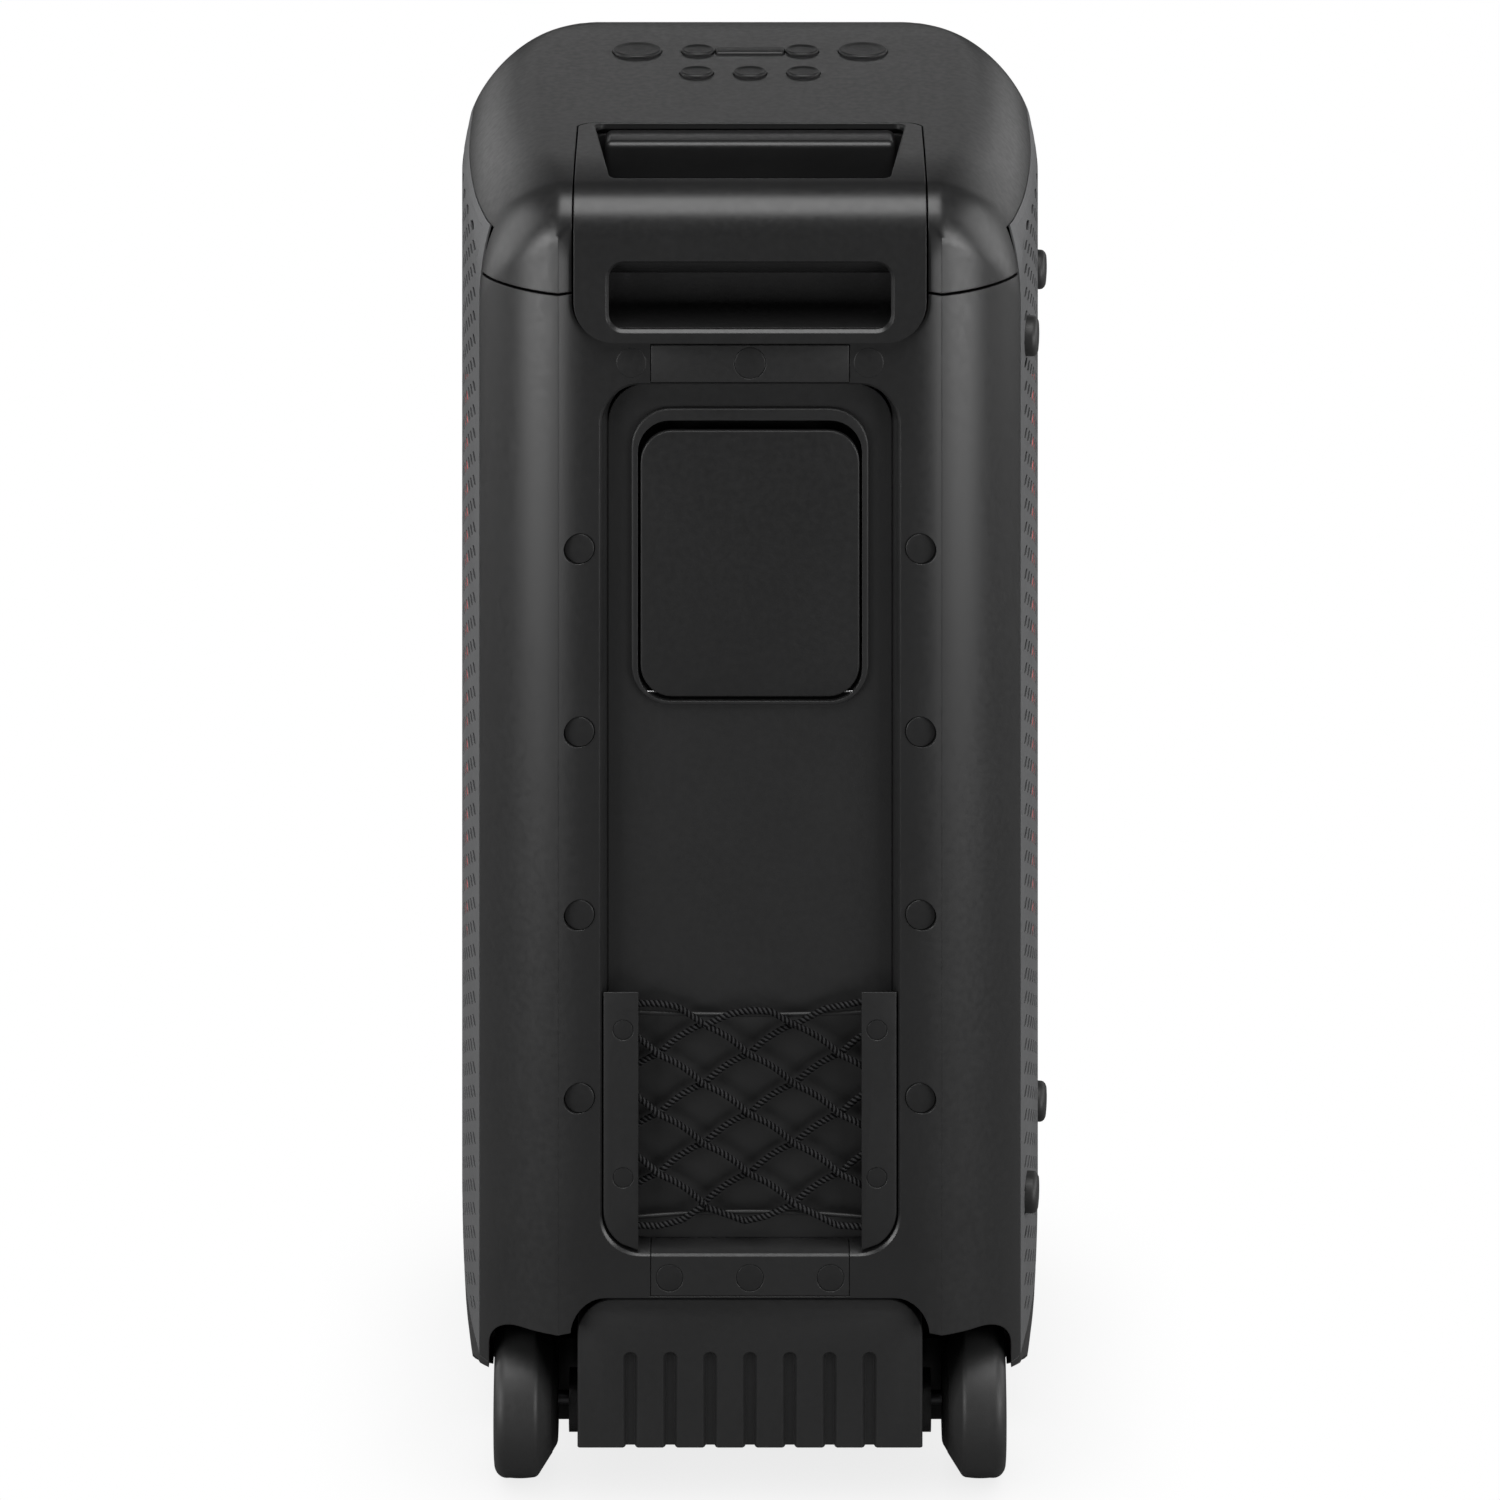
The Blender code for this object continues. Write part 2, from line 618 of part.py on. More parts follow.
def handle_surround(finish):
    made = envelope("handle_surround", SURROUND_LOW, TOP_Z, channel=False, finish=finish)
    zone = rounded_rectangle(SURROUND_HALF, SURROUND_LOW, SURROUND_LOW + 0.2, 0.024)
    hollow = envelope("surround_hollow", SURROUND_LOW - 0.01, TOP_Z - WALL, inset=WALL, channel=False)
    keep(made, rear_slab("surround_zone", zone, -0.02, SURROUND_FRONT))
    cut(made, hollow)
    end = Vector((0.0935, 0, 0))
    centre = Vector((0, REAR_Y - REAR_EDGE, TOP_Z - REAR_CROWN[0] - REAR_EDGE))
    bar = rod("carry_bar", REAR_EDGE - 0.0008, centre - end, centre + end, segments=32)
    cut(bar, depth_box("bar_front", CARRY_BAR_FAR, 0.1, 0.7, 0.8))
    join(made, bar)
    front, rear = REAR_Y - SURROUND_FRONT - 0.01, REAR_Y - REAR_EDGE
    corners = [(-0.0850, rear), (0.0850, rear), (0.0945, front), (-0.0945, front)]
    rings = [[(x, y, z) for x, y in corners] for z in (TOP_Z - 0.012, TOP_Z + 0.02)]
    outline = rounded_rectangle(POCKET_HALF, POCKET_LOW, POCKET_HIGH, 0.009)
    return cut(made, lofted("upper_opening", rings), rear_slab("lower_pocket", outline, -0.02, 0.0052))


def handle_well(finish):
    """The bucket under the grip. It is open at the top and towards the lower pocket."""
    half, near, far, skin = 0.0965, 0.0042, 0.1330, 0.0025
    low, high, front = POCKET_LOW + 0.0005, TOP_Z - WALL - 0.0030, REAR_Y - far
    made = box("handle_well", (-half, front, low - 0.0028), (half, REAR_Y - near, high), finish)
    inside = box("well_inside", (skin - half, front + skin, low), (half - skin, REAR_Y + 0.01, high + 0.01))
    cut(made, inside, depth_box("well_rear", -0.02, 0.034, SURROUND_LOW + 0.03, 0.9))
    for i, x in enumerate((POST_X, -POST_X)):
        y = REAR_Y - POST_DEPTH
        cut(made, rod(f"post_hole_{i}", POST_RADIUS + 0.0006, (x, y, 0.6), (x, y, 0.75), segments=20))
    return made


def handle_grip(finish):
    return box("handle_grip", (-GRIP_HALF, REAR_Y - GRIP_FAR, GRIP_BOTTOM),
               (GRIP_HALF, REAR_Y - GRIP_NEAR, GRIP_TOP), finish, bevel=0.004)


def handle_post(side, sign, finish):
    y = REAR_Y - POST_DEPTH
    return rod(f"handle_post_{side}", POST_RADIUS, (sign * POST_X, y, POST_BOTTOM),
               (sign * POST_X, y, GRIP_BOTTOM - GAP), finish)


# Wheels and base

def base_block(finish):
    outline = rounded_rectangle(BLOCK_HALF, BLOCK_BOTTOM, BLOCK_TOP, BLOCK_CORNER)
    square = [(-BLOCK_HALF, BLOCK_BOTTOM), (BLOCK_HALF, BLOCK_BOTTOM)]
    outline = square + [point for point in outline if point[1] > WHEEL_RADIUS + 0.02]
    made = rear_slab("base_block", outline, BLOCK_NEAR, BLOCK_FAR, finish)
    y, z = REAR_Y - WHEEL_DEPTH, WHEEL_RADIUS
    join(made, rod("axle_boss", 0.0176, (-0.1088, y, z - 0.0015), (0.1088, y, z - 0.0015), segments=24))
    for i in range(-3, 4):
        x, half = i * GROOVE_PITCH, GROOVE_WIDTH / 2
        outline = rounded_rectangle(half, 0.0, GROOVE_TOP, half - 0.0001, steps=3)
        groove = rear_slab(f"groove_{i + 3}", outline, 0.0, BLOCK_NEAR + 0.0035)
        groove.location.x = x
        cut(made, groove)
    return cut(made, rod("axle_bore", AXLE_RADIUS + 0.0002, (-0.12, y, z), (0.12, y, z)))


def axle(finish):
    y = REAR_Y - WHEEL_DEPTH
    return rod("axle", AXLE_RADIUS, (-0.1495, y, WHEEL_RADIUS), (0.1495, y, WHEEL_RADIUS), finish)


def wheel_hub(side, sign, finish):
    width = WHEEL_OUT - WHEEL_IN
    outer, bore = 0.0297, AXLE_RADIUS + 0.0003
    profile = [(outer, width - 0.0020), (outer, 0.0020), (0.0120, 0.0008), (bore, 0.0008),
               (bore, width - 0.0060), (0.0240, width - 0.0060), (0.0265, width - 0.0020)]
    centre = (sign * WHEEL_IN, REAR_Y - WHEEL_DEPTH, WHEEL_RADIUS)
    return turned(f"wheel_hub_{side}", profile, centre, (sign, 0, 0), finish, 24)


def tyre(side, sign, finish):
    width, inner, radius = WHEEL_OUT - WHEEL_IN, 0.0300, WHEEL_RADIUS
    profile = [(inner, width - 0.0012), (radius - 0.0090, width), (radius - 0.0035, width - 0.0014),
               (radius - 0.0008, width - 0.0060), (radius, width * 0.55), (radius - 0.0006, 0.0150),
               (radius - 0.0040, 0.0090), (inner + 0.0004, 0.0030)]
    centre = (sign * WHEEL_IN, REAR_Y - WHEEL_DEPTH, WHEEL_RADIUS)
    return turned(f"tyre_{side}", profile, centre, (sign, 0, 0), finish, 32)


def front_foot(side, sign, finish):
    rings = []
    for z, grow in ((0.0, -0.006), (0.003, -0.003), (0.020, 0.0), (BASE_Z - GAP, 0.002)):
        outline = rounded_rectangle(0.034 + grow, -0.142 - grow, -0.098 + grow, 0.012)
        rings.append([(sign * 0.108 + x, y, z) for x, y in outline])
    return lofted(f"front_foot_{side}", rings, finish)


SIDE_FEET = (("upper_rear", 0.070, 0.6780, 0.1748), ("upper_front", 0.195, 0.6780, 0.1846),
             ("lower_rear", 0.070, 0.1600, 0.1748), ("lower_front", 0.195, 0.1600, 0.1846))
FOOT_TILT = math.radians(7)


def side_foot_axis():
    return Vector((-math.cos(FOOT_TILT), math.sin(FOOT_TILT), 0))


def side_foot(name, depth, z, reach, finish):
    """A rubber stud that the speaker lies on. It stands on the inner wall, through the grille."""
    length = 0.0088 if depth < 0.1 else 0.0072
    tip = Vector((-reach, REAR_Y - depth, z))
    profile = [(0, 0), (0.0090, 0), (0.0105, -0.0008), (0.0118, -0.0030), (0.0118, -length), (0, -length)]
    return turned(f"side_foot_{name}", profile, tip, side_foot_axis(), finish, 16)


def foot_holes():
    holes = []
    for name, depth, z, reach in SIDE_FEET:
        tip = Vector((-reach, REAR_Y - depth, z))
        start, end = tip + side_foot_axis() * 0.02, tip - side_foot_axis() * 0.02
        holes.append(rod(f"foot_hole_{name}", 0.0126, start, end, segments=16))
    return holes


# Channel fittings

def net_rail(side, sign, finish):
    outer = RECESS_FLOOR_HALF - 0.0004
    low = RECESS_LOW + 0.0034 + 0.0004
    rounded = rounded_rectangle(outer, low, RAIL_TOP + 0.05, RAIL_CORNER)
    corner = [point for point in rounded if point[0] > RAIL_IN + 0.0005 and point[1] < RAIL_TOP - 0.01]
    run = RAIL_IN - (outer - RAIL_CORNER)
    start = low + RAIL_CORNER - math.sqrt(RAIL_CORNER**2 - run**2)
    outline = [(RAIL_IN, start), *corner, (outer, RAIL_TOP), (RAIL_IN, RAIL_TOP)]
    outline = [(sign * x, z) for x, z in outline]
    return rear_slab(f"net_rail_{side}", outline[::sign], CHANNEL_DEPTH + 0.0004, RECESS_FLOOR - GAP, finish)


def cord_net(finish):
    half = RAIL_IN - 0.0006
    return box("cord_net", (-half, REAR_Y - 0.0150, NET_LOW), (half, REAR_Y - 0.0100, NET_HIGH), finish)


def bracket(name, limits, finish):
    near = CHANNEL_DEPTH - 0.0008
    return rear_slab(name, bracket_outline(limits), near, near + BRACKET_THICK, finish)


def screw_plug(index, x, z, finish):
    side = "left" if x > 0 else "right"
    bottom = REAR_Y - PLUG_SOCKET + GAP
    height = bottom + PLUG_THICK
    name = f"screw_plug_{side}_{index % 4 + 1}"
    return rod(name, PLUG_RADIUS, (x, bottom, z), (x, height, z), finish, segments=16)


# Controls on top

ROW_FAR, ROW_NEAR = 0.281, 0.234
BUTTONS = (
    ("power_button", 0.0716, ROW_FAR, 0.0155), ("light_button", -0.0716, ROW_FAR, 0.0155),
    ("volume_down_button", 0.0330, ROW_FAR, 0.0105), ("volume_up_button", -0.0330, ROW_FAR, 0.0105),
    ("pairing_button", 0.0335, ROW_NEAR, 0.0105), ("effect_button", 0.0, ROW_NEAR, 0.0105),
    ("party_button", -0.0335, ROW_NEAR, 0.0105))
BUTTON_TOP, BUTTON_BOTTOM = TOP_Z + 0.0020, TOP_Z - 0.0170
BAR_HALF_X, BAR_HALF_Y, BUTTON_GAP = 0.0216, 0.0060, 0.0004


def round_button(name, x, depth, radius, finish):
    height = BUTTON_TOP - BUTTON_BOTTOM
    profile = [(0, height), (radius - 0.0010, height), (radius, height - 0.0010), (radius, 0), (0, 0)]
    return turned(name, profile, (x, REAR_Y - depth, BUTTON_BOTTOM), (0, 0, 1), finish, 20)


def play_button(finish):
    y = REAR_Y - ROW_FAR
    return box("play_button", (-BAR_HALF_X, y - BAR_HALF_Y, BUTTON_BOTTOM),
               (BAR_HALF_X, y + BAR_HALF_Y, BUTTON_TOP - 0.0004), finish, bevel=0.0012)


def button_holes():
    holes = []
    for name, x, depth, radius in BUTTONS:
        start, end = (x, REAR_Y - depth, TOP_Z - 0.03), (x, REAR_Y - depth, TOP_Z + 0.01)
        holes.append(rod(name + "_hole", radius + BUTTON_GAP, start, end, segments=20))
    y, half_x, half_y = REAR_Y - ROW_FAR, BAR_HALF_X + BUTTON_GAP, BAR_HALF_Y + BUTTON_GAP
    holes.append(box("play_hole", (-half_x, y - half_y, TOP_Z - 0.03), (half_x, y + half_y, TOP_Z + 0.01)))
    return holes


def control_board(finish):
    top = BUTTON_BOTTOM - 0.0016
    return box("control_board", (-0.100, REAR_Y - 0.315, top - 0.0016), (0.100, REAR_Y - 0.205, top), finish)


# Sound, light and power

def woofer_basket(finish):
    """Flange, bowl and magnet in one turned piece. Its height runs from the magnet towards the grille."""
    flange = BAFFLE_BACK + BAFFLE_THICK + GAP
    inside = [(0, -0.056), (0.0560, -0.052), (0.0880, 0.0012), (0.0930, 0.0030)]
    outside = [(0.106, 0.0030), (0.106, 0), (0.0925, 0), (0.0640, -0.058), (0.0640, -0.090), (0, -0.090)]
    return turned("woofer_basket", inside + outside, (0, REAR_Y - flange, WOOFER_Z), (0, -1, 0), finish, 28)


def woofer_cone(finish):
    flange = BAFFLE_BACK + BAFFLE_THICK + GAP
    front = [(0, -0.006), (0.014, -0.010), (0.024, -0.020), (0.0300, -0.026), (0.0760, 0.0060)]
    back = [(0.0780, 0.0060), (0.0780, 0.0040), (0.0300, -0.029), (0.0200, -0.036), (0, -0.036)]
    return turned("woofer_cone", front + back, (0, REAR_Y - flange, WOOFER_Z), (0, -1, 0), finish, 28)


def woofer_surround(finish):
    """A half roll of rubber between the cone's edge and the flange it is glued to."""
    flange = BAFFLE_BACK + BAFFLE_THICK + 2 * GAP + 0.003
    middle, inner, sheet = 0.0860, 0.0790, 0.0014
    reach = middle - inner
    turns = [math.pi * step / 4 for step in range(5)]
    under = [(middle + (reach - sheet) * math.cos(a), 0.0046 * math.sin(a)) for a in turns]
    over = [(middle - reach * math.cos(a), sheet + 0.0052 * math.sin(a)) for a in turns]
    outline = [(0.099, sheet), (0.099, 0), *under, (inner, 0), *over]
    return turned("woofer_surround", outline, (0, REAR_Y - flange, WOOFER_Z), (0, -1, 0), finish, 28)


def tweeter(side, sign, finish):
    front = BAFFLE_BACK + BAFFLE_THICK + GAP
    profile = [(0, 0.0060), (0.0080, 0.0045), (0.0125, 0.0), (0.0260, 0.0035), (0.0370, 0.0035), (0.0370, 0),
               (0.0290, 0), (0.0280, -0.026), (0, -0.026)]
    place = (sign * TWEETER_X, REAR_Y - front, TWEETER_Z)
    return turned(f"tweeter_{side}", profile, place, (0, -1, 0), finish, 20)


def led_ring(finish):
    front = BAFFLE_BACK + BAFFLE_THICK + GAP
    profile = [(0.1400, 0.0080), (0.1470, 0.0060), (0.1490, 0), (0.1310, 0), (0.1330, 0.0060)]
    return turned("led_ring", profile, (0, REAR_Y - front, WOOFER_Z), (0, -1, 0), finish, 40)


def led_panel(finish):
    near = BAFFLE_BACK + BAFFLE_THICK + GAP
    return box("led_panel", (-0.110, REAR_Y - near - 0.006, 0.185), (0.110, REAR_Y - near, 0.245), finish,
               bevel=0.0015)


def battery_pack(finish):
    return box("battery_pack", (-0.075, -0.070, 0.0650), (0.075, 0.020, 0.135), finish, bevel=0.004)


def amplifier_board(finish):
    near = 0.0300
    rear = REAR_Y - near
    made = box("amplifier_board", (-0.070, rear - 0.0016, 0.190), (0.070, rear, 0.440), finish)
    base = box("heat_sink", (-0.045, rear - 0.008, 0.330), (0.045, rear - 0.001, 0.420))
    join(made, base)
    for i in range(7):
        x = -0.042 + 0.014 * i
        fin = box(f"heat_sink_fin_{i}", (x - 0.0012, rear - 0.030, 0.330), (x + 0.0012, rear - 0.007, 0.420))
        join(made, fin)
    return made


# Bodies

def carry(name, place, children):
    """An empty on the joint's axis that its pieces are parented to."""
    empty = bpy.data.objects.new(name, None)
    empty.location = place
    bpy.data.collections[PARTS].objects.link(empty)
    bpy.context.view_layer.update()
    for child in children:
        child.parent = empty
        child.matrix_parent_inverse = empty.matrix_world.inverted()
    return empty


def build_cabinet():
    plastic = material("cabinet_plastic", (0.030, 0.030, 0.031), 0.45)
    metal = material("grille_metal", (0.060, 0.062, 0.064), 0.55, 0.3)
    rear_housing(plastic)
    bottom_base(plastic)
    top_cover(plastic, button_holes())
    front_grille(metal, foot_holes())
    front_baffle(material("baffle_plastic", (0.015, 0.015, 0.015), 0.8))


def build_rear():
    panel = material("panel_plastic", (0.022, 0.022, 0.023), 0.55)
    trim = material("trim_plastic", (0.018, 0.018, 0.019), 0.40)
    steel = material("steel", (0.5, 0.5, 0.5), 0.35, 1.0)
    rear_panel(panel)
    door_frame(panel)
    door_pin(steel)
    jack_plate(trim)
    carry("door_joint", door_hinge_place(), [jack_door(trim)])
    for name, x in KNOBS:
        carry(name + "_joint", (x, REAR_Y - PLATE_NEAR, KNOB_Z), [volume_knob(name, x, trim)])
    mirrored_pair(lambda side, sign: net_rail(side, sign, panel))
    cord_net(material("net_cord", (0.012, 0.012, 0.012), 0.9))
    bracket("upper_bracket", UPPER_BRACKET, panel)
    bracket("lower_bracket", LOWER_BRACKET, panel)
    for i, (x, z) in enumerate(plug_places()):
        screw_plug(i, x, z, trim)


def build_handle():
    plastic = material("handle_plastic", (0.028, 0.028, 0.029), 0.42)
    tube = material("handle_tube", (0.25, 0.25, 0.26), 0.35, 1.0)
    handle_surround(plastic)
    handle_well(plastic)
    moving = [handle_grip(plastic)] + mirrored_pair(lambda side, sign: handle_post(side, sign, tube))
    carry("handle_joint", (0, REAR_Y - POST_DEPTH, GRIP_TOP), moving)


def build_wheels():
    rubber = material("tyre_rubber", (0.030, 0.030, 0.030), 0.65)
    hub = material("hub_plastic", (0.020, 0.020, 0.020), 0.5)
    base_block(material("block_plastic", (0.016, 0.016, 0.017), 0.5))
    axle(material("axle_steel", (0.45, 0.45, 0.46), 0.35, 1.0))
    for side, sign in (("left", 1), ("right", -1)):
        pieces = [wheel_hub(side, sign, hub), tyre(side, sign, rubber)]
        carry(f"{side}_wheel_joint", (sign * WHEEL_IN, REAR_Y - WHEEL_DEPTH, WHEEL_RADIUS), pieces)
    mirrored_pair(lambda side, sign: front_foot(side, sign, rubber))
    for name, depth, z, reach in SIDE_FEET:
        side_foot(name, depth, z, reach, rubber)


def build_controls():
    cap = material("button_rubber", (0.020, 0.020, 0.021), 0.5)
    for name, x, depth, radius in BUTTONS:
        carry(name + "_joint", (x, REAR_Y - depth, BUTTON_TOP), [round_button(name, x, depth, radius, cap)])
    carry("play_button_joint", (0, REAR_Y - ROW_FAR, BUTTON_TOP), [play_button(cap)])
    control_board(material("board_green", (0.02, 0.10, 0.05), 0.5))


def build_insides():
    dark = material("driver_frame", (0.03, 0.03, 0.03), 0.5, 0.6)
    paper = material("cone_paper", (0.02, 0.02, 0.02), 0.8)
    rubber = material("surround_rubber", (0.02, 0.02, 0.02), 0.6)
    diffuser = material("light_diffuser", (0.80, 0.10, 0.10), 0.3)
    woofer_basket(dark)
    woofer_surround(rubber)
    carry("woofer_joint", (0, REAR_Y - BAFFLE_BACK, WOOFER_Z), [woofer_cone(paper)])
    mirrored_pair(lambda side, sign: tweeter(side, sign, dark))
    led_ring(diffuser)
    led_panel(diffuser)
    battery_pack(material("battery_wrap", (0.02, 0.03, 0.08), 0.5))
    amplifier_board(material("amplifier_green", (0.02, 0.10, 0.05), 0.5))


clear_scene()
build_cabinet()
build_rear()
build_handle()
build_wheels()
build_controls()
build_insides()
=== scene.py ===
"""Looks of the party speaker: fine shells, a pierced grille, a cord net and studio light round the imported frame.

Metres, +Z up, the floor at z = 0, the handle and the wheels at +Y. Depths count from the rearmost plane.
"""

import json
import math

import bmesh
import bpy
import numpy as np
from mathutils import Matrix, Vector

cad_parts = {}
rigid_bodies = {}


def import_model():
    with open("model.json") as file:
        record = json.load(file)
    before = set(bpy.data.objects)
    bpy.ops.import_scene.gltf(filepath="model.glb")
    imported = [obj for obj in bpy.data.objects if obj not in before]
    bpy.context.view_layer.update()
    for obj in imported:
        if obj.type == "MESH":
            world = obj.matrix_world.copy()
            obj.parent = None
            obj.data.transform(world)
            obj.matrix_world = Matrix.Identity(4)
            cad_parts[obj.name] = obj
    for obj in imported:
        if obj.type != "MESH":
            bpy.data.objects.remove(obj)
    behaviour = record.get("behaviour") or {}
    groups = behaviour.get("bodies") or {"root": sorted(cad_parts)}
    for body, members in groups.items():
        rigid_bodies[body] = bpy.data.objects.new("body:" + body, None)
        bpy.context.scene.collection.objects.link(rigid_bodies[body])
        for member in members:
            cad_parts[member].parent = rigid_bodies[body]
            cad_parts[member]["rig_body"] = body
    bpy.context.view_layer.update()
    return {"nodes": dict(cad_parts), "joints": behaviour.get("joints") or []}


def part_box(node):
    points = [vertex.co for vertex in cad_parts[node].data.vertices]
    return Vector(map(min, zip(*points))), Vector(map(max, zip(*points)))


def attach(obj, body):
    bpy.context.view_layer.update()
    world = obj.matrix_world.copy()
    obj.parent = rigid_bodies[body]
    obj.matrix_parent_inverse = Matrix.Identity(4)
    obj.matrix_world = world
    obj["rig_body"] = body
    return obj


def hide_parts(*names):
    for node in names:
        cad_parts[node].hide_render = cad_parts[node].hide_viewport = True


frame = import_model()


def low(node):
    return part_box(node)[0]


def high(node):
    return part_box(node)[1]


def middle(node):
    return (low(node) + high(node)) / 2


# Sizes from the frame.
REAR_Y = high("top_cover").y
BODY_DEPTH = 2 * REAR_Y
HALF_WIDTH = high("front_grille").x
TOP_Z = high("top_cover").z
BASE_Z, BASE_TOP = low("bottom_base").z, high("bottom_base").z
HOUSING_LOW, HOUSING_TOP = low("rear_housing").z, high("rear_housing").z
COVER_LOW, GRILLE_TOP = low("top_cover").z, high("front_grille").z
SURROUND_HALF, SURROUND_LOW = high("handle_surround").x, low("handle_surround").z
SURROUND_FRONT = REAR_Y - low("handle_surround").y
PANEL_NEAR = REAR_Y - high("rear_panel").y
DOOR_NEAR = REAR_Y - high("jack_door").y
WHEEL_Y, WHEEL_Z = middle("tyre_left").y, middle("tyre_left").z
WHEEL_IN, WHEEL_OUT = low("tyre_left").x, high("tyre_left").x
WHEEL_RADIUS = high("tyre_left").z - WHEEL_Z
WOOFER_Z = middle("woofer_basket").z
BAFFLE_FRONT = REAR_Y - low("front_baffle").y

# The cabinet's form.
GAP, WALL = 0.0003, 0.0035
WIDEST_DEPTH = 0.240
CHANNEL_DEPTH, CHANNEL_HALF, RIDGE_X = 0.006, 0.0885, 0.1141
LOBE_RADIUS = 0.0838
LOBE_START, LOBE_END = math.radians(18), math.radians(62)
LOBE_DEPTH = LOBE_RADIUS * (math.cos(LOBE_START) - math.cos(LOBE_END))
SIDE_RADIUS, CORNER_POWER = 1.129, 4.4
SHOULDER_Z, SHOULDER_WIDTH, SHOULDER_POWER = 0.7393, 0.047, 1.527
REAR_EDGE, FRONT_EDGE, BOTTOM_EDGE = 0.028, 0.0205, 0.030
ROOF_FOOT = 0.705
TAPER_Z, TAPER_HEIGHT, TAPER_IN = 0.160, 0.100, 0.0055
CREASE_BLEND = 0.012
CROWN_DROP, CROWN_RUN = 0.0025, 0.048
FRONT_DROP, FRONT_RUN = 0.0018, 0.0394
CHANNEL_FADE = (0.745, 0.782)
RECESS = {"half": 0.0885, "low": 0.1526, "high": 0.6706, "radius": 0.024}
RECESS_SLOPE = 0.0034
ARCH_TOP, ARCH_IN, ARCH_OUT = 0.107, 0.1037, 0.1565
BLOCK_HALF, BLOCK_TOP, BLOCK_CORNER = 0.1030, 0.1225, 0.021
POCKET_HALF, POCKET_LOW, POCKET_HIGH = 0.0840, 0.7051, 0.7444
PLUG_RADIUS = 0.0088
SURROUND_CORNER = 0.012
SEAM = 0.0007


# Materials

def link(tree, source, target):
    tree.links.new(source, target)


def node(tree, kind, **settings):
    made = tree.nodes.new(kind)
    for name, value in settings.items():
        if name in made.inputs:
            made.inputs[name].default_value = value
        else:
            setattr(made, name, value)
    return made


def noise(tree, size, detail=3.0):
    """Noise whose spots are `size` metres across, in the object's own space."""
    place = node(tree, "ShaderNodeTexCoord")
    made = node(tree, "ShaderNodeTexNoise", Scale=1 / size, Detail=detail)
    link(tree, place.outputs["Object"], made.inputs["Vector"])
    return made.outputs["Fac"]


def spread(tree, value, low_end, high_end, start=0.3, stop=0.7):
    made = node(tree, "ShaderNodeMapRange")
    for name, number in (("From Min", start), ("From Max", stop), ("To Min", low_end), ("To Max", high_end)):
        made.inputs[name].default_value = number
    link(tree, value, made.inputs["Value"])
    return made.outputs["Result"]


def tinted(tree, colour, share):
    """The colour scaled by a varying share."""
    made = node(tree, "ShaderNodeVectorMath", operation="SCALE")
    made.inputs[0].default_value = colour
    link(tree, share, made.inputs["Scale"])
    return made.outputs["Vector"]


def edge_mask(tree, bevel):
    """0 on open faces and up to 1 on the rounded edges."""
    plain = node(tree, "ShaderNodeNewGeometry")
    dot = node(tree, "ShaderNodeVectorMath", operation="DOT_PRODUCT")
    link(tree, bevel.outputs["Normal"], dot.inputs[0])
    link(tree, plain.outputs["Normal"], dot.inputs[1])
    return spread(tree, dot.outputs["Value"], 1.0, 0.0, 0.80, 0.995)


def finish(name, colour, roughness, metallic=0.0, grain=0.0007, depth=0.00003, edge=0.0008, wear=0.25, mottle=0.08):
    """Moulded or cast surface: fine grain, uneven sheen, softened and slightly rubbed edges."""
    made = bpy.data.materials.new(name)
    made.use_nodes = True
    tree = made.node_tree
    shader = tree.nodes["Principled BSDF"]
    bevel = node(tree, "ShaderNodeBevel", samples=4, Radius=edge)
    bump = node(tree, "ShaderNodeBump", Strength=1.0, Distance=depth)
    link(tree, noise(tree, grain), bump.inputs["Height"])
    link(tree, bevel.outputs["Normal"], bump.inputs["Normal"])
    link(tree, bump.outputs["Normal"], shader.inputs["Normal"])
    rubbed = spread(tree, edge_mask(tree, bevel), 1.0, 1.0 + wear, 0.0, 1.0)
    cloudy = spread(tree, noise(tree, 0.06, 5.0), 1 - mottle, 1 + mottle)
    both = node(tree, "ShaderNodeMath", operation="MULTIPLY")
    link(tree, rubbed, both.inputs[0])
    link(tree, cloudy, both.inputs[1])
    link(tree, tinted(tree, colour, both.outputs["Value"]), shader.inputs["Base Color"])
    link(tree, spread(tree, noise(tree, 0.004, 4.0), roughness - 0.04, roughness + 0.04),
         shader.inputs["Roughness"])
    shader.inputs["Metallic"].default_value = metallic
    return made


def glowing(name, colour, strength, pitch=0.0):
    """A diffuser lit from behind. With a pitch, its lamps show as brighter spots along z."""
    made = finish(name, colour, 0.35, grain=0.0003)
    tree = made.node_tree
    shader = tree.nodes["Principled BSDF"]
    shader.inputs["Emission Color"].default_value = (*colour, 1.0)
    shader.inputs["Emission Strength"].default_value = strength
    if pitch:
        link(tree, spread(tree, noise(tree, pitch, 1.0), 0.35 * strength, 1.5 * strength),
             shader.inputs["Emission Strength"])
    return made


def braid(name, colour):
    """Cord yarn: fine fibres along the plies, without gloss."""
    made = finish(name, colour, 0.90, grain=0.0002, depth=0.00008, edge=0.0001, wear=0.0, mottle=0.2)
    made.node_tree.nodes["Principled BSDF"].inputs["Specular IOR Level"].default_value = 0.08
    return made


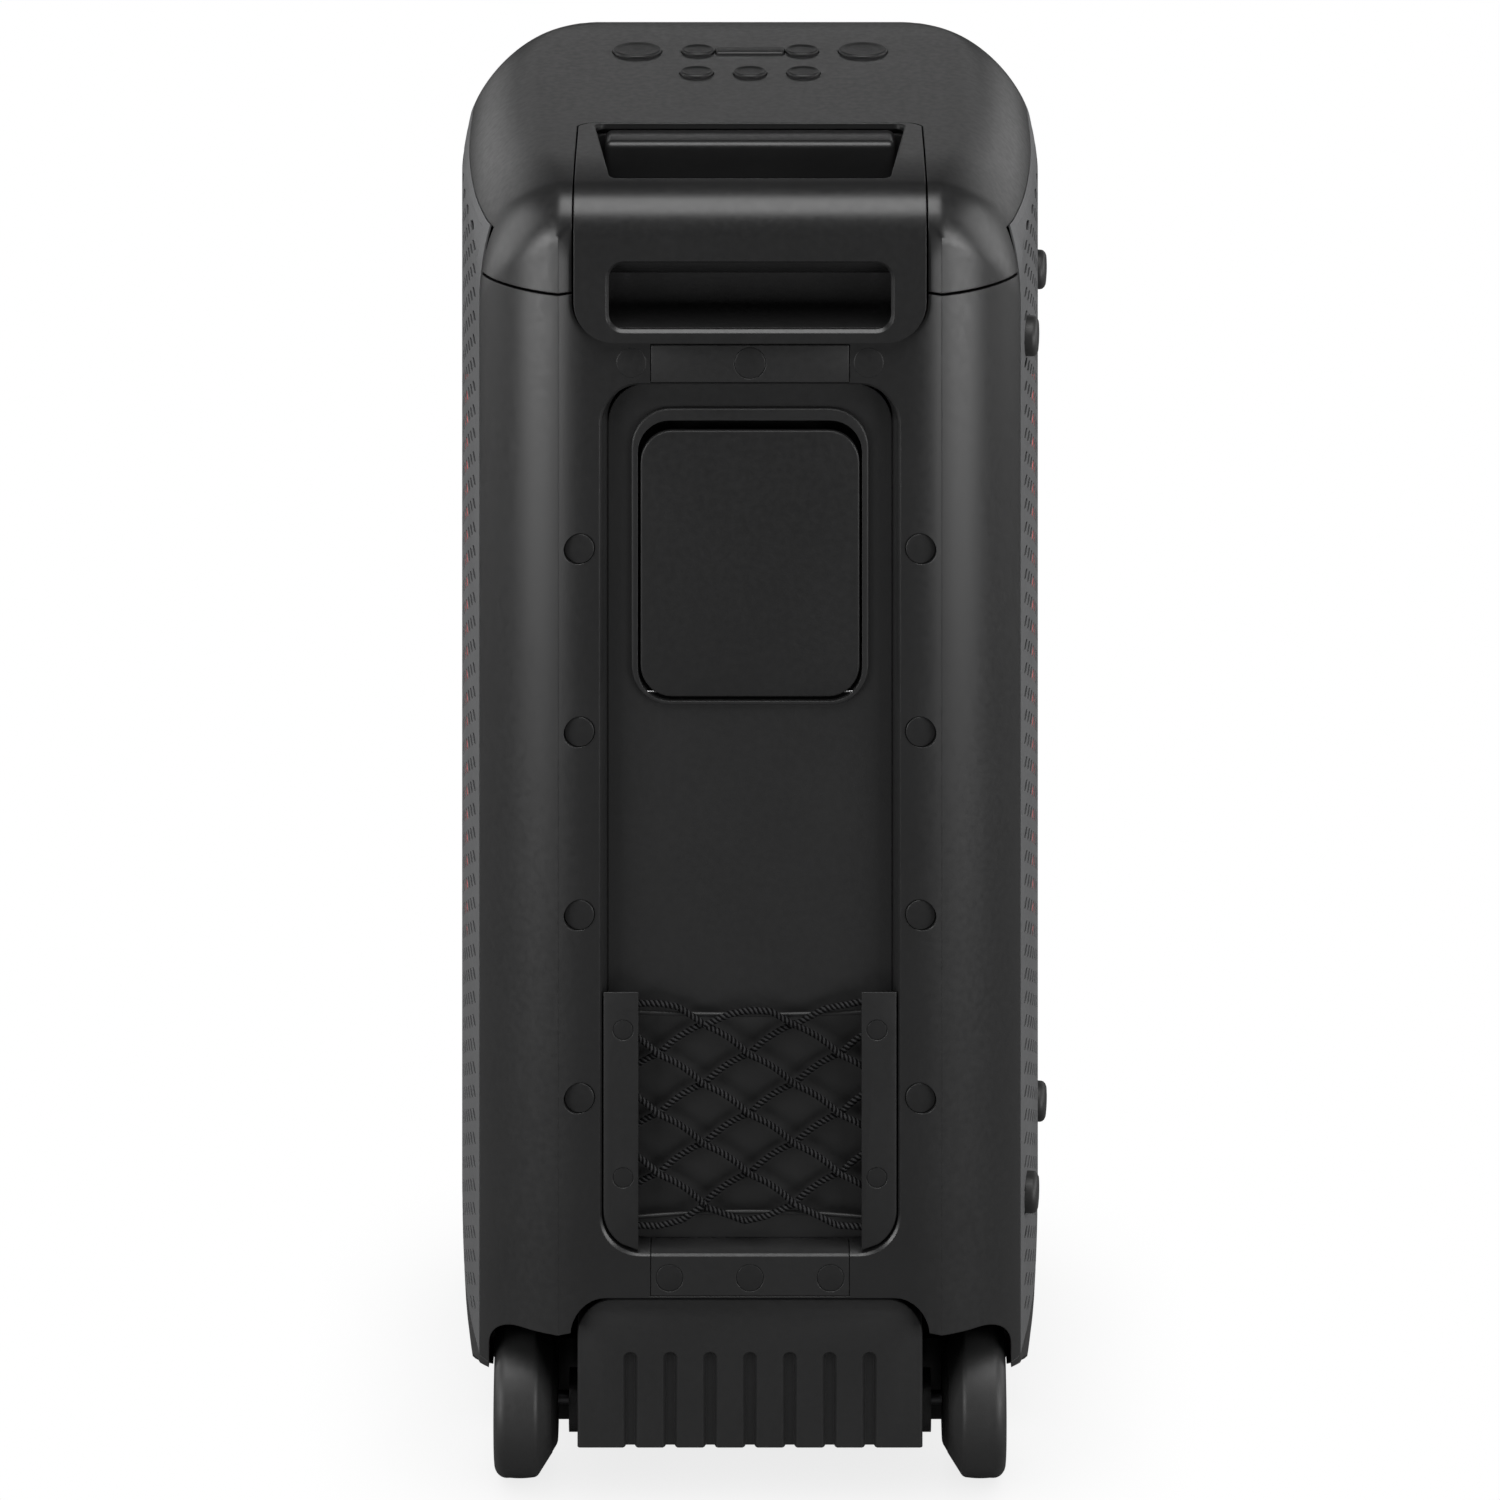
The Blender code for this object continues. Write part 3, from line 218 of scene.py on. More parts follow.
FINISHES = {
    "cabinet_plastic": finish("cabinet_moulding", (0.014, 0.014, 0.0142), 0.35, depth=0.000012),
    "handle_plastic": finish("handle_moulding", (0.014, 0.014, 0.0142), 0.34, depth=0.000012),
    "panel_plastic": finish("panel_moulding", (0.014, 0.014, 0.0142), 0.44, grain=0.0005),
    "trim_plastic": finish("trim_moulding", (0.010, 0.010, 0.0102), 0.44, grain=0.0004),
    "block_plastic": finish("block_moulding", (0.0145, 0.0145, 0.0147), 0.46, depth=0.00004),
    "hub_plastic": finish("hub_moulding", (0.012, 0.012, 0.012), 0.45),
    "grille_metal": finish("painted_steel_mesh", (0.120, 0.121, 0.124), 0.50, 0.2, grain=0.0004, edge=0.0003),
    "baffle_plastic": finish("baffle_moulding", (0.010, 0.010, 0.010), 0.75),
    "tyre_rubber": finish("tyre_rubber_worn", (0.021, 0.021, 0.021), 0.50, grain=0.0005, depth=0.00005),
    "button_rubber": finish("button_rubber_matt", (0.012, 0.012, 0.0122), 0.44, grain=0.0003, edge=0.0005),
    "surround_rubber": finish("butyl_roll", (0.015, 0.015, 0.015), 0.55),
    "cone_paper": finish("pressed_paper", (0.020, 0.020, 0.020), 0.80, grain=0.0012, depth=0.00015),
    "driver_frame": finish("cast_driver_frame", (0.05, 0.05, 0.052), 0.45, 0.7),
    "steel": finish("plain_steel", (0.45, 0.45, 0.45), 0.30, 1.0, grain=0.0002),
    "axle_steel": finish("zinc_steel", (0.12, 0.12, 0.125), 0.38, 1.0, grain=0.0002),
    "handle_tube": finish("brushed_tube", (0.30, 0.30, 0.31), 0.30, 1.0, grain=0.0002),
    "net_cord": braid("net_yarn", (0.0022, 0.0022, 0.0023)),
    "light_diffuser": glowing("red_diffuser", (0.75, 0.12, 0.11), 0.6, 0.012),
    "battery_wrap": finish("battery_shrink", (0.02, 0.03, 0.08), 0.35),
    "board_green": finish("control_laminate", (0.02, 0.10, 0.05), 0.40, grain=0.002),
    "amplifier_green": finish("amplifier_laminate", (0.02, 0.10, 0.05), 0.40, grain=0.002),
}


# Meshes

def mesh_of(points, faces):
    mesh = bpy.data.meshes.new("made")
    mesh.from_pydata([tuple(p) for p in points], [], faces)
    return mesh


def tidy(mesh, merge=1e-6):
    """Points in one place made one, faces turned outwards."""
    work = bmesh.new()
    work.from_mesh(mesh)
    bmesh.ops.remove_doubles(work, verts=work.verts, dist=merge)
    bmesh.ops.recalc_face_normals(work, faces=work.faces)
    work.to_mesh(mesh)
    work.free()
    return mesh


def joined(*meshes):
    work = bmesh.new()
    for mesh in meshes:
        work.from_mesh(mesh)
    made = bpy.data.meshes.new("joined")
    work.to_mesh(made)
    work.free()
    return made


def moved(mesh, offset):
    made = mesh.copy()
    made.transform(Matrix.Translation(offset))
    return made


def show(name, mesh, body, slot, *nodes, sharp=32):
    """A finished piece on its body, standing for its CAD nodes."""
    made = bpy.data.objects.new(name, mesh)
    bpy.context.scene.collection.objects.link(made)
    mesh.materials.clear()
    mesh.materials.append(FINISHES[slot])
    mesh.shade_smooth()
    mesh.set_sharp_from_angle(angle=math.radians(sharp))
    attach(made, body)
    if nodes:
        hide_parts(*nodes)
    return made


def loft(rings, closed_ends=True):
    count = len(rings[0])
    points = [point for ring in rings for point in ring]
    faces = []
    for level in range(len(rings) - 1):
        start, above = level * count, (level + 1) * count
        for i in range(count):
            j = (i + 1) % count
            faces.append((start + i, start + j, above + j, above + i))
    if closed_ends:
        faces.append(tuple(range(count))[::-1])
        faces.append(tuple(range((len(rings) - 1) * count, len(rings) * count)))
    return tidy(mesh_of(points, faces), 1e-7)


def rounded(half, bottom, top, radius, steps=8):
    """Corner points, anticlockwise, of a rectangle from (-half, bottom) to (half, top)."""
    corners = ((half - radius, bottom + radius, -90), (half - radius, top - radius, 0),
               (radius - half, top - radius, 90), (radius - half, bottom + radius, 180))
    points = []
    for x, z, start in corners:
        for step in range(steps + 1):
            angle = math.radians(start + 90 * step / steps)
            points.append((x + radius * math.cos(angle), z + radius * math.sin(angle)))
    return points


def slab(outline, near, far):
    """A flat piece whose (x, z) outline faces the rear."""
    return loft([[(x, REAR_Y - depth, z) for x, z in outline] for depth in (near, far)])


def plate(half, bottom, top, radius, near, far, edge=0.0, centre=0.0):
    """A rear-facing plate with round corners, whose near rim is rounded by `edge`, or flared if it is negative."""
    rings = []
    for step in range(5 if edge else 1):
        angle = math.radians(90 * step / 4)
        inset = abs(edge) * (1 - math.sin(angle)) if edge > 0 else edge * (1 - step / 4)
        depth = near + abs(edge) * ((1 - math.cos(angle)) if edge > 0 else step / 4)
        outline = rounded(half - inset, bottom + inset, top - inset, radius - inset)
        rings.append([(centre + x, REAR_Y - depth, z) for x, z in outline])
    outline = rounded(half, bottom, top, radius)
    rings.append([(centre + x, REAR_Y - far, z) for x, z in outline])
    return loft(rings)


def block(first, last, edge=0.0, steps=4):
    work = bmesh.new()
    first, last = Vector(first), Vector(last)
    place = Matrix.Translation((first + last) / 2) @ Matrix.Diagonal((*(last - first), 1))
    bmesh.ops.create_cube(work, size=1, matrix=place)
    if edge:
        bmesh.ops.bevel(work, geom=work.edges[:], offset=edge, segments=steps, profile=0.5, affect="EDGES")
    mesh = bpy.data.meshes.new("block")
    bmesh.ops.recalc_face_normals(work, faces=work.faces)
    work.to_mesh(mesh)
    work.free()
    return mesh


def depth_zone(near, far, bottom=0.0, top=0.8, half=0.3):
    return block((-half, REAR_Y - far, bottom), (half, REAR_Y - near, top))


def lathe(profile, centre, axis, steps=72, closed=False):
    """(radius, height) points turned round an axis through the centre."""
    axis = Vector(axis).normalized()
    across = axis.orthogonal().normalized()
    over = axis.cross(across)
    count = len(profile)
    points = []
    for step in range(steps):
        angle = math.tau * step / steps
        out = across * math.cos(angle) + over * math.sin(angle)
        points += [Vector(centre) + axis * height + out * radius for radius, height in profile]
    faces = []
    for step in range(steps):
        here, there = step * count, (step + 1) % steps * count
        for i in range(count if closed else count - 1):
            j = (i + 1) % count
            faces.append((here + i, there + i, there + j, here + j))
    mesh = tidy(mesh_of(points, faces))
    work = bmesh.new()
    work.from_mesh(mesh)
    bmesh.ops.dissolve_degenerate(work, edges=work.edges[:], dist=1e-7)
    work.to_mesh(mesh)
    work.free()
    return mesh


def rod(radius, start, end, steps=48):
    start, end = Vector(start), Vector(end)
    length = (end - start).length
    return lathe([(0, 0), (radius, 0), (radius, length), (0, length)], start, end - start, steps)


def round_rim(radius, height, edge, steps=4):
    """Profile points of a rounded rim that ends flat at `height`, from the side inwards."""
    turns = [math.radians(90 * i / steps) for i in range(steps + 1)]
    return [(radius - edge + edge * math.cos(a), height - edge + edge * math.sin(a)) for a in turns]


def sweep_frames(path):
    """Tangents and two normals that turn as little as possible along the path."""
    path = np.asarray(path, float)
    along = np.gradient(path, axis=0)
    along /= np.linalg.norm(along, axis=1)[:, None]
    first = np.cross(along[0], (0.0, 1.0, 0.0))
    if np.linalg.norm(first) < 1e-3:
        first = np.cross(along[0], (1.0, 0.0, 0.0))
    side = [first / np.linalg.norm(first)]
    for direction in along[1:]:
        flat = side[-1] - direction * np.dot(side[-1], direction)
        side.append(flat / np.linalg.norm(flat))
    side = np.array(side)
    return path, side, np.cross(along, side)


def tube(path, radius, sides=8):
    path, side, over = sweep_frames(path)
    angles = np.arange(sides) * math.tau / sides
    rings = [[p + radius * (s * math.cos(a) + o * math.sin(a)) for a in angles]
             for p, s, o in zip(path, side, over)]
    return loft(rings)


def twisted(path, radius, lay, plies=4, sides=5):
    """The plies of a cord, wound round each other."""
    path, side, over = sweep_frames(path)
    steps = np.linalg.norm(np.diff(path, axis=0), axis=1)
    turn = np.concatenate([[0], np.cumsum(steps)]) / lay * math.tau
    made = []
    for ply in range(plies):
        angle = turn + math.tau * ply / plies
        wound = path + radius * 0.5 * (side * np.cos(angle)[:, None] + over * np.sin(angle)[:, None])
        made.append(tube(wound, radius * 0.47, sides))
    return made


def carved(mesh, *steps):
    """The mesh after Boolean steps, each ("DIFFERENCE" or "UNION" or "INTERSECT", other mesh)."""
    target = bpy.data.objects.new("carving", mesh)
    bpy.context.scene.collection.objects.link(target)
    helpers = []
    for operation, other in steps:
        helper = bpy.data.objects.new("cutter", other)
        bpy.context.scene.collection.objects.link(helper)
        helpers.append(helper)
        modifier = target.modifiers.new("step", "BOOLEAN")
        modifier.operation = operation
        modifier.object = helper
        modifier.solver = "MANIFOLD"
    bpy.context.view_layer.update()
    graph = bpy.context.evaluated_depsgraph_get()
    result = bpy.data.meshes.new_from_object(target.evaluated_get(graph))
    for helper in [target, *helpers]:
        bpy.data.objects.remove(helper, do_unlink=True)
    return result


def cut(mesh, *others):
    return carved(mesh, *(("DIFFERENCE", other) for other in others))


def union(mesh, *others):
    return carved(mesh, *(("UNION", other) for other in others))


# The cabinet's outer surface

def lobe(count):
    angle = np.linspace(LOBE_START, LOBE_END, count)
    x = RIDGE_X + LOBE_RADIUS * (np.sin(angle) - math.sin(LOBE_START))
    return np.stack([x, LOBE_RADIUS * (math.cos(LOBE_START) - np.cos(angle))], 1)


def side(count):
    depth = np.linspace(LOBE_DEPTH + 0.0025, WIDEST_DEPTH, count, endpoint=False)
    x = HALF_WIDTH - SIDE_RADIUS + np.sqrt(SIDE_RADIUS**2 - (WIDEST_DEPTH - depth)**2)
    return np.stack([x, depth], 1)


def front(count):
    """A quarter of a superellipse."""
    angle = np.linspace(0, math.pi / 2, count)
    x = HALF_WIDTH * np.maximum(np.cos(angle), 0) ** (2 / CORNER_POWER)
    depth = (BODY_DEPTH - WIDEST_DEPTH) * np.sin(angle) ** (2 / CORNER_POWER)
    return np.stack([x, WIDEST_DEPTH + depth], 1)


def channel_and_fillet(share):
    """Half of the rear's sunk channel and the hollow curve up to the ridge, at a share of its depth."""
    run, rise = RIDGE_X - CHANNEL_HALF, CHANNEL_DEPTH
    radius = (run**2 + rise**2) / (2 * rise)
    across = np.linspace(0, run, 12, endpoint=False)
    depth = rise - radius + np.sqrt(radius**2 - across**2)
    flat = np.linspace(0, CHANNEL_HALF, 8, endpoint=False)
    x = np.concatenate([flat, CHANNEL_HALF + across])
    return np.stack([x, np.concatenate([np.full(8, rise), depth]) * share], 1)


def plan(share=1.0):
    """The whole plan as (x, y), clockwise from the rear centre line."""
    half = np.concatenate([channel_and_fillet(share), lobe(26), side(44), front(46)])
    right = np.stack([half[:, 0], REAR_Y - half[:, 1]], 1)
    return np.concatenate([right, (right * (-1, 1))[-2:0:-1]])


def quarter(share):
    return 1 - np.sqrt(np.maximum(0.0, 1 - np.clip(share, 0.0, 1.0) ** 2))


def side_limit(z):
    taper = TAPER_IN * (np.maximum(0.0, TAPER_Z - z) / TAPER_HEIGHT) ** 2
    return HALF_WIDTH - taper - BOTTOM_EDGE * quarter((BASE_Z + BOTTOM_EDGE - z) / BOTTOM_EDGE)


def end_limit(z):
    return REAR_Y - BOTTOM_EDGE * quarter((BASE_Z + BOTTOM_EDGE - z) / BOTTOM_EDGE)


def edge_inset(z, radius):
    """How far the rear has come in at height z: a round edge, then the slow slope of the crowned top."""
    tilt = math.atan(2 * CROWN_DROP / CROWN_RUN)
    reach = radius * math.cos(tilt)
    rise = np.clip(z - (TOP_Z - CROWN_DROP - reach), 0, reach)
    slope = CROWN_RUN * (1 - np.sqrt(np.clip((TOP_Z - z) / CROWN_DROP, 0, 1)))
    crown = radius * (1 - math.sin(tilt)) + slope
    return np.where(z > TOP_Z - CROWN_DROP, crown, radius - np.sqrt(radius**2 - rise**2))


def half_width(depth):
    """Half the plan's width at a depth, leaving the rear lobes out."""
    off = np.clip(WIDEST_DEPTH - depth, 0, None)
    share = np.clip((depth - WIDEST_DEPTH) / (BODY_DEPTH - WIDEST_DEPTH), 0, 1)
    rear = HALF_WIDTH - SIDE_RADIUS + np.sqrt(SIDE_RADIUS**2 - off**2)
    return np.where(depth < WIDEST_DEPTH, rear, HALF_WIDTH * (1 - share**CORNER_POWER) ** (1 / CORNER_POWER))


def lobe_depth(across):
    sine = math.sin(LOBE_START) + np.maximum(across - RIDGE_X, 0) / LOBE_RADIUS
    return LOBE_RADIUS * (math.cos(LOBE_START) - np.sqrt(1 - np.minimum(sine, math.sin(LOBE_END)) ** 2))


def fall(run, edge, drop, slope_run):
    """How far the roof has dropped at a run in from an end: a slow crown, then a round edge."""
    tilt = math.atan(2 * drop / slope_run)
    start = edge * (1 - math.sin(tilt))
    round_edge = drop + edge * math.cos(tilt) - np.sqrt(edge**2 - (edge - np.clip(run, 0, start)) ** 2)
    return np.where(run < start, round_edge, drop * np.clip((start + slope_run - run) / slope_run, 0, 1) ** 2)


def roof(points):
    """Height of the cabinet's top over points of the plan."""
    across, depth = np.abs(points[:, 0]), REAR_Y - points[:, 1]
    share = np.clip((half_width(depth) - across) / SHOULDER_WIDTH, 0, 1)
    rise = (1 - (1 - share) ** SHOULDER_POWER) ** (1 / SHOULDER_POWER)
    rear = fall(depth - lobe_depth(across), REAR_EDGE, CROWN_DROP, CROWN_RUN)
    ahead = fall(BODY_DEPTH - depth, FRONT_EDGE, FRONT_DROP, FRONT_RUN)
    return SHOULDER_Z + (TOP_Z - SHOULDER_Z) * rise - np.where(points[:, 1] > 0, rear, ahead)


def share_under_roof(points, z):
    """The share of each plan point's reach at which the roof comes down to height z."""
    lower, upper = np.full(len(points), 0.25), np.ones(len(points))
    for _ in range(34):
        half = (lower + upper) / 2
        under = roof(points * half[:, None]) >= z - 1e-9
        lower, upper = np.where(under, half, lower), np.where(under, upper, half)
    return np.where((roof(points) >= z) | (z < ROOF_FOOT), 1.0, lower)


def fitted(points, z):
    """Plan points drawn in to the outline that the cabinet has at height z."""
    across, along = np.abs(points[:, 0]), np.abs(points[:, 1])
    reach = np.hypot(across, along)
    plain = np.minimum(1.0, end_limit(z) / np.maximum(along, 1e-6)) * reach
    narrow = side_limit(z) / np.maximum(across, 1e-6) * reach
    crease = CREASE_BLEND * (2 * across * along / reach**2) ** 2
    near = np.maximum(crease - np.abs(plain - narrow), 0) / np.maximum(crease, 1e-6)
    scale = (np.minimum(plain, narrow) - near**2 * crease / 4) / reach
    return points * np.minimum(scale, share_under_roof(points, z))[:, None]


def channel_share(z):
    first, last = CHANNEL_FADE
    share = min(max((z - first) / (last - first), 0.0), 1.0)
    return 1 - share * share * (3 - 2 * share)


def section(z, inset=0.0, channel=True):
    level = min(z + inset, TOP_Z) if z > BASE_TOP else z
    points = plan(channel_share(level) if channel else 0.0)
    points = fitted(points, np.full(len(points), level))
    if inset:
        along = np.roll(points, -1, 0) - np.roll(points, 1, 0)
        inward = np.stack([along[:, 1], -along[:, 0]], 1)
        points = points + inset * inward / np.linalg.norm(inward, axis=1)[:, None]
    return points


def heights(bottom, top, pitch=0.011):
    """Levels that follow the curvature of the bottom edge, the taper and the shoulders."""
    levels = list(np.arange(BASE_Z + BOTTOM_EDGE, ROOF_FOOT, pitch)) + list(np.arange(ROOF_FOOT, SHOULDER_Z, 0.004))
    levels += [BASE_Z + BOTTOM_EDGE * (1 - math.cos(math.radians(a))) for a in range(10, 90, 9)]
    levels += [SHOULDER_Z + (TOP_Z - SHOULDER_Z) * math.sin(math.radians(a)) for a in range(0, 72, 2)]
    levels += [TOP_Z - CROWN_DROP * (i / 6) ** 2 for i in range(7)]
    return [bottom] + sorted(z for z in levels if bottom + 0.001 < z < top - 0.00001) + [top]


def envelope(bottom, top, inset=0.0, channel=True):
    return loft([[(x, y, z) for x, y in section(z, inset, channel)] for z in heights(bottom, top)])


# Shells

def arches():
    """Round over the wheels in the side view and, from the rear, round at the outer top corner."""
    made = []
    for sign in (1, -1):
        reach, radius = ARCH_TOP - WHEEL_Z, 0.020
        turns = [math.radians(90 * i / 9) for i in range(10)]
        top = [(ARCH_OUT - radius + radius * math.sin(a), ARCH_TOP - radius + radius * math.cos(a)) for a in turns]
        outline = [(sign * x, z) for x, z in [(ARCH_IN, 0.0), (ARCH_IN, ARCH_TOP), *top, (ARCH_OUT, 0.0)]]
        ends = sorted((sign * ARCH_IN, sign * ARCH_OUT))
        whole = rod(reach, (ends[0], WHEEL_Y, WHEEL_Z), (ends[1], WHEEL_Y, WHEEL_Z), 96)
        made.append(carved(whole, ("INTERSECT", slab(outline, -0.02, 0.2))))
        made.append(slab(outline, -0.02, REAR_Y - WHEEL_Y))
    return made


def arches_low():
    """Under the axle the arches open downwards and rearwards."""
    made = []
    for sign in (1, -1):
        ends = sorted((sign * (ARCH_IN - 0.0010), sign * ARCH_OUT))
        made.append(block((ends[0], WHEEL_Y - 0.060, 0), (ends[1], REAR_Y + 0.02, 0.2)))
    return made


def footprint(half, ahead, radius):
    """A block over the rear whose two far corners are rounded in plan."""
    turns = [math.radians(90 * i / 7) for i in range(8)]
    corner = [(half - radius + radius * math.cos(a), ahead + radius - radius * math.sin(a)) for a in turns]
    outline = [(-half, REAR_Y + 0.02), (half, REAR_Y + 0.02)] + corner + [(-x, y) for x, y in reversed(corner)]
    return loft([[(x, y, z) for x, y in outline] for z in (0.60, 0.85)])


def surround_opening(grow=0.0011):
    half, bottom = SURROUND_HALF + grow, SURROUND_LOW - grow
    around_corner = footprint(half + 0.001, REAR_Y - SURROUND_FRONT - grow, SURROUND_CORNER + grow)
    whole = slab(rounded(half, bottom, bottom + 0.2, 0.024 + grow), -0.02, SURROUND_FRONT + 0.01)
    return carved(whole, ("INTERSECT", around_corner))


def block_opening(grow=0.0040):
    return slab(rounded(BLOCK_HALF + grow, -0.05, BLOCK_TOP + grow, BLOCK_CORNER), -0.02, 0.0755)


def arch_flanks():
    """Openings in the side walls that bare the wheels' lower halves. Their edge slopes down ahead of the wheel."""
    edge = [(-0.02, 0.0735), (0.030, 0.0735), (0.050, 0.0700), (0.070, 0.0625), (0.090, 0.0515),
            (0.108, 0.0380), (0.122, 0.0200), (0.128, 0.0), (-0.02, 0.0)]
    return [loft([[(sign * x, REAR_Y - depth, z) for depth, z in edge] for x in (ARCH_OUT - 0.0010, 0.20)])
            for sign in (1, -1)]


def recess_cutter(rim=0.0012):
    """Walls that lean in towards the floor, with a chamfer along the rim."""
    rings = []
    stages = ((-0.010, rim + 0.016), (CHANNEL_DEPTH + rim, 0.0), (PANEL_NEAR, -RECESS_SLOPE),
              (0.040, -RECESS_SLOPE))
    for depth, grow in stages:
        outline = rounded(RECESS["half"] + grow, RECESS["low"] - grow, RECESS["high"] + grow,
                          RECESS["radius"] + min(grow, 0), 12)
        rings.append([(x, REAR_Y - depth, z) for x, z in outline])
    return loft(rings)


BRACKET_GAP = 0.0005


def lower_bracket_solid(grow=0.0):
    """A plate under the recess whose lip turns in over the recess's lower wall. A positive grow makes its seat."""
    half, bottom = high("lower_bracket").x + grow, low("lower_bracket").z - grow
    near = CHANNEL_DEPTH - 0.0001
    rim, floor_z = RECESS["low"], RECESS["low"] + RECESS_SLOPE
    if grow:
        outline = [(-0.02, bottom), (-0.02, floor_z + 0.02), (PANEL_NEAR - GAP, floor_z + 0.02),
                   (PANEL_NEAR - GAP, floor_z - 0.0030), (near + 0.0036, rim - 0.0036), (near + 0.0036, bottom)]
    else:
        outline = [(near, bottom), (near, rim - 0.0013), (near + 0.0012, rim), (PANEL_NEAR - 0.0005, floor_z),
                   (PANEL_NEAR - 0.0005, floor_z - 0.0020), (near + 0.0030, rim - 0.0030), (near + 0.0030, bottom)]
    return loft([[(x, REAR_Y - depth, z) for depth, z in outline] for x in (-half, half)])


def plug_places():
    return [(name, middle(name)) for name in sorted(frame["nodes"]) if name.startswith("screw_plug")]


def rear_housing():
    steps = [("INTERSECT", depth_zone(-0.01, LOBE_DEPTH))]
    inner = carved(envelope(HOUSING_LOW, HOUSING_TOP, WALL),
                   ("INTERSECT", depth_zone(0.030, BAFFLE_FRONT - 0.0123)))
    steps.append(("UNION", inner))
    steps.append(("DIFFERENCE", envelope(BASE_TOP - 0.01, HOUSING_TOP + 0.01, 2 * WALL)))
    steps.append(("UNION", plate(0.0925, RECESS["low"] - 0.004, RECESS["high"] + 0.004, 0.028, 0.010, 0.0262)))
    cutters = [recess_cutter(), block_opening(), surround_opening(), *arches()]
    first, last = low("upper_bracket"), high("upper_bracket")
    cutters.append(block((first.x - BRACKET_GAP, first.y - GAP, first.z - BRACKET_GAP),
                         (last.x + BRACKET_GAP, last.y + 0.02, last.z + BRACKET_GAP)))
    cutters.append(lower_bracket_solid(BRACKET_GAP))
    for _, place in plug_places():
        start, end = Vector((place.x, REAR_Y + 0.01, place.z)), Vector((place.x, REAR_Y - 0.0076, place.z))
        cutters.append(rod(PLUG_RADIUS + 0.0004, start, end, 40))
    steps += [("DIFFERENCE", cutter) for cutter in cutters]
    return carved(envelope(HOUSING_LOW, HOUSING_TOP - SEAM), *steps)


def top_cover():
    names = [row for row in frame["nodes"] if row.endswith("_button") and row != "play_button"]
    holes = []
    for name in names:
        place = middle(name)
        radius = (high(name).x - low(name).x) / 2 + 0.0005
        holes.append(rod(radius, (place.x, place.y, TOP_Z - 0.03), (place.x, place.y, TOP_Z + 0.01), 56))
    first, last = low("play_button"), high("play_button")
    holes.append(block((first.x - 0.0005, first.y - 0.0005, TOP_Z - 0.03),
                       (last.x + 0.0005, last.y + 0.0005, TOP_Z + 0.01)))
    step = depth_zone(LOBE_DEPTH + 0.0005, 0.5, 0.70, GRILLE_TOP + 0.0005)
    hollow = envelope(COVER_LOW - 0.01, TOP_Z - WALL, WALL, False)
    return cut(envelope(COVER_LOW + SEAM, TOP_Z), hollow, step, surround_opening(), *holes)


def bottom_base():
    opening = depth_zone(-0.02, 0.0755, 0, 0.2, BLOCK_HALF + 0.0040)
    made = cut(envelope(BASE_Z, BASE_TOP), envelope(BASE_Z + WALL, BASE_TOP + 0.01, WALL), opening, *arches_low(),
               *arch_flanks())
    guards = [block((min(a, b), WHEEL_Y - 0.0535, 0.0060), (max(a, b), WHEEL_Y - 0.0500, BASE_Z + 0.02), 0.0008, 2)
              for a, b in ((0.0900, 0.1250), (-0.0900, -0.1250))]
    return joined(made, *guards)


def build_shells():
    show("rear_housing_shell", rear_housing(), "cabinet", "cabinet_plastic", "rear_housing")
    show("top_cover_shell", top_cover(), "cabinet", "cabinet_plastic", "top_cover")
    show("bottom_base_shell", bottom_base(), "cabinet", "cabinet_plastic", "bottom_base")


# Grille

SEAM_DEPTH = LOBE_DEPTH + 0.0012
TILE_WIDTH, TILE_HEIGHT = 0.0310, 0.0142
LEAF_HALF, LEAF_RISE = 0.0086, 0.0025
SHEET = 0.0012


def grille_path():
    """The plan's run from the left seam round the front to the right seam, with its arc lengths."""
    half = np.concatenate([side(60), front(160)])
    half[0] = (half[0][0], SEAM_DEPTH)
    right = np.stack([half[:, 0], REAR_Y - half[:, 1]], 1)
    path = np.concatenate([right, (right * (-1, 1))[-2::-1]])
    lengths = np.concatenate([[0], np.cumsum(np.linalg.norm(np.diff(path, axis=0), axis=1))])
    return path, lengths


PATH, LENGTHS = grille_path()


def on_sheet(s, z, inset=0.0):
    """Points of the cabinet's surface at arc length s and height z, moved in along the surface's normal."""
    def place(s_, z_):
        flat = np.stack([np.interp(s_, LENGTHS, PATH[:, 0]), np.interp(s_, LENGTHS, PATH[:, 1])], 1)
        return np.concatenate([fitted(flat, z_), z_[:, None]], 1)

    s, z = np.asarray(s, float), np.asarray(z, float)
    step = 0.0015
    along = place(s + step, z) - place(s - step, z)
    up = place(s, z + step) - place(s, z - step)
    inward = np.cross(along, up)
    inward /= np.linalg.norm(inward, axis=1)[:, None]
    return place(s, z) - inset * inward * np.sign(-inward[:, :1] * 0 + orientation(inward, place(s, z)))


def orientation(normals, places):
    """+1 where a normal points away from the cabinet's middle."""
    outward = places - np.array([0.0, 0.0, 0.42])
    outward[:, 2] *= 0.2
    return np.where((normals * outward).sum(1) > 0, 1.0, -1.0)[:, None]


def tile_outlines():
    """Eight matching points on a tile's rhombus and on the leaf-shaped hole in it."""
    rhombus, leaf = [], []
    for i in range(8):
        share = i / 2
        corner, part = int(share), share - int(share)
        corners = ((1, 0), (0, 1), (-1, 0), (0, -1))
        a, b = corners[corner], corners[(corner + 1) % 4]
        x, z = a[0] + (b[0] - a[0]) * part, a[1] + (b[1] - a[1]) * part
        rhombus.append((x * TILE_WIDTH / 2, z * TILE_HEIGHT / 2))
        leaf.append((x * LEAF_HALF, LEAF_RISE * math.copysign(1 - x * x, z) if z else 0.0))
    return np.array(rhombus), np.array(leaf)


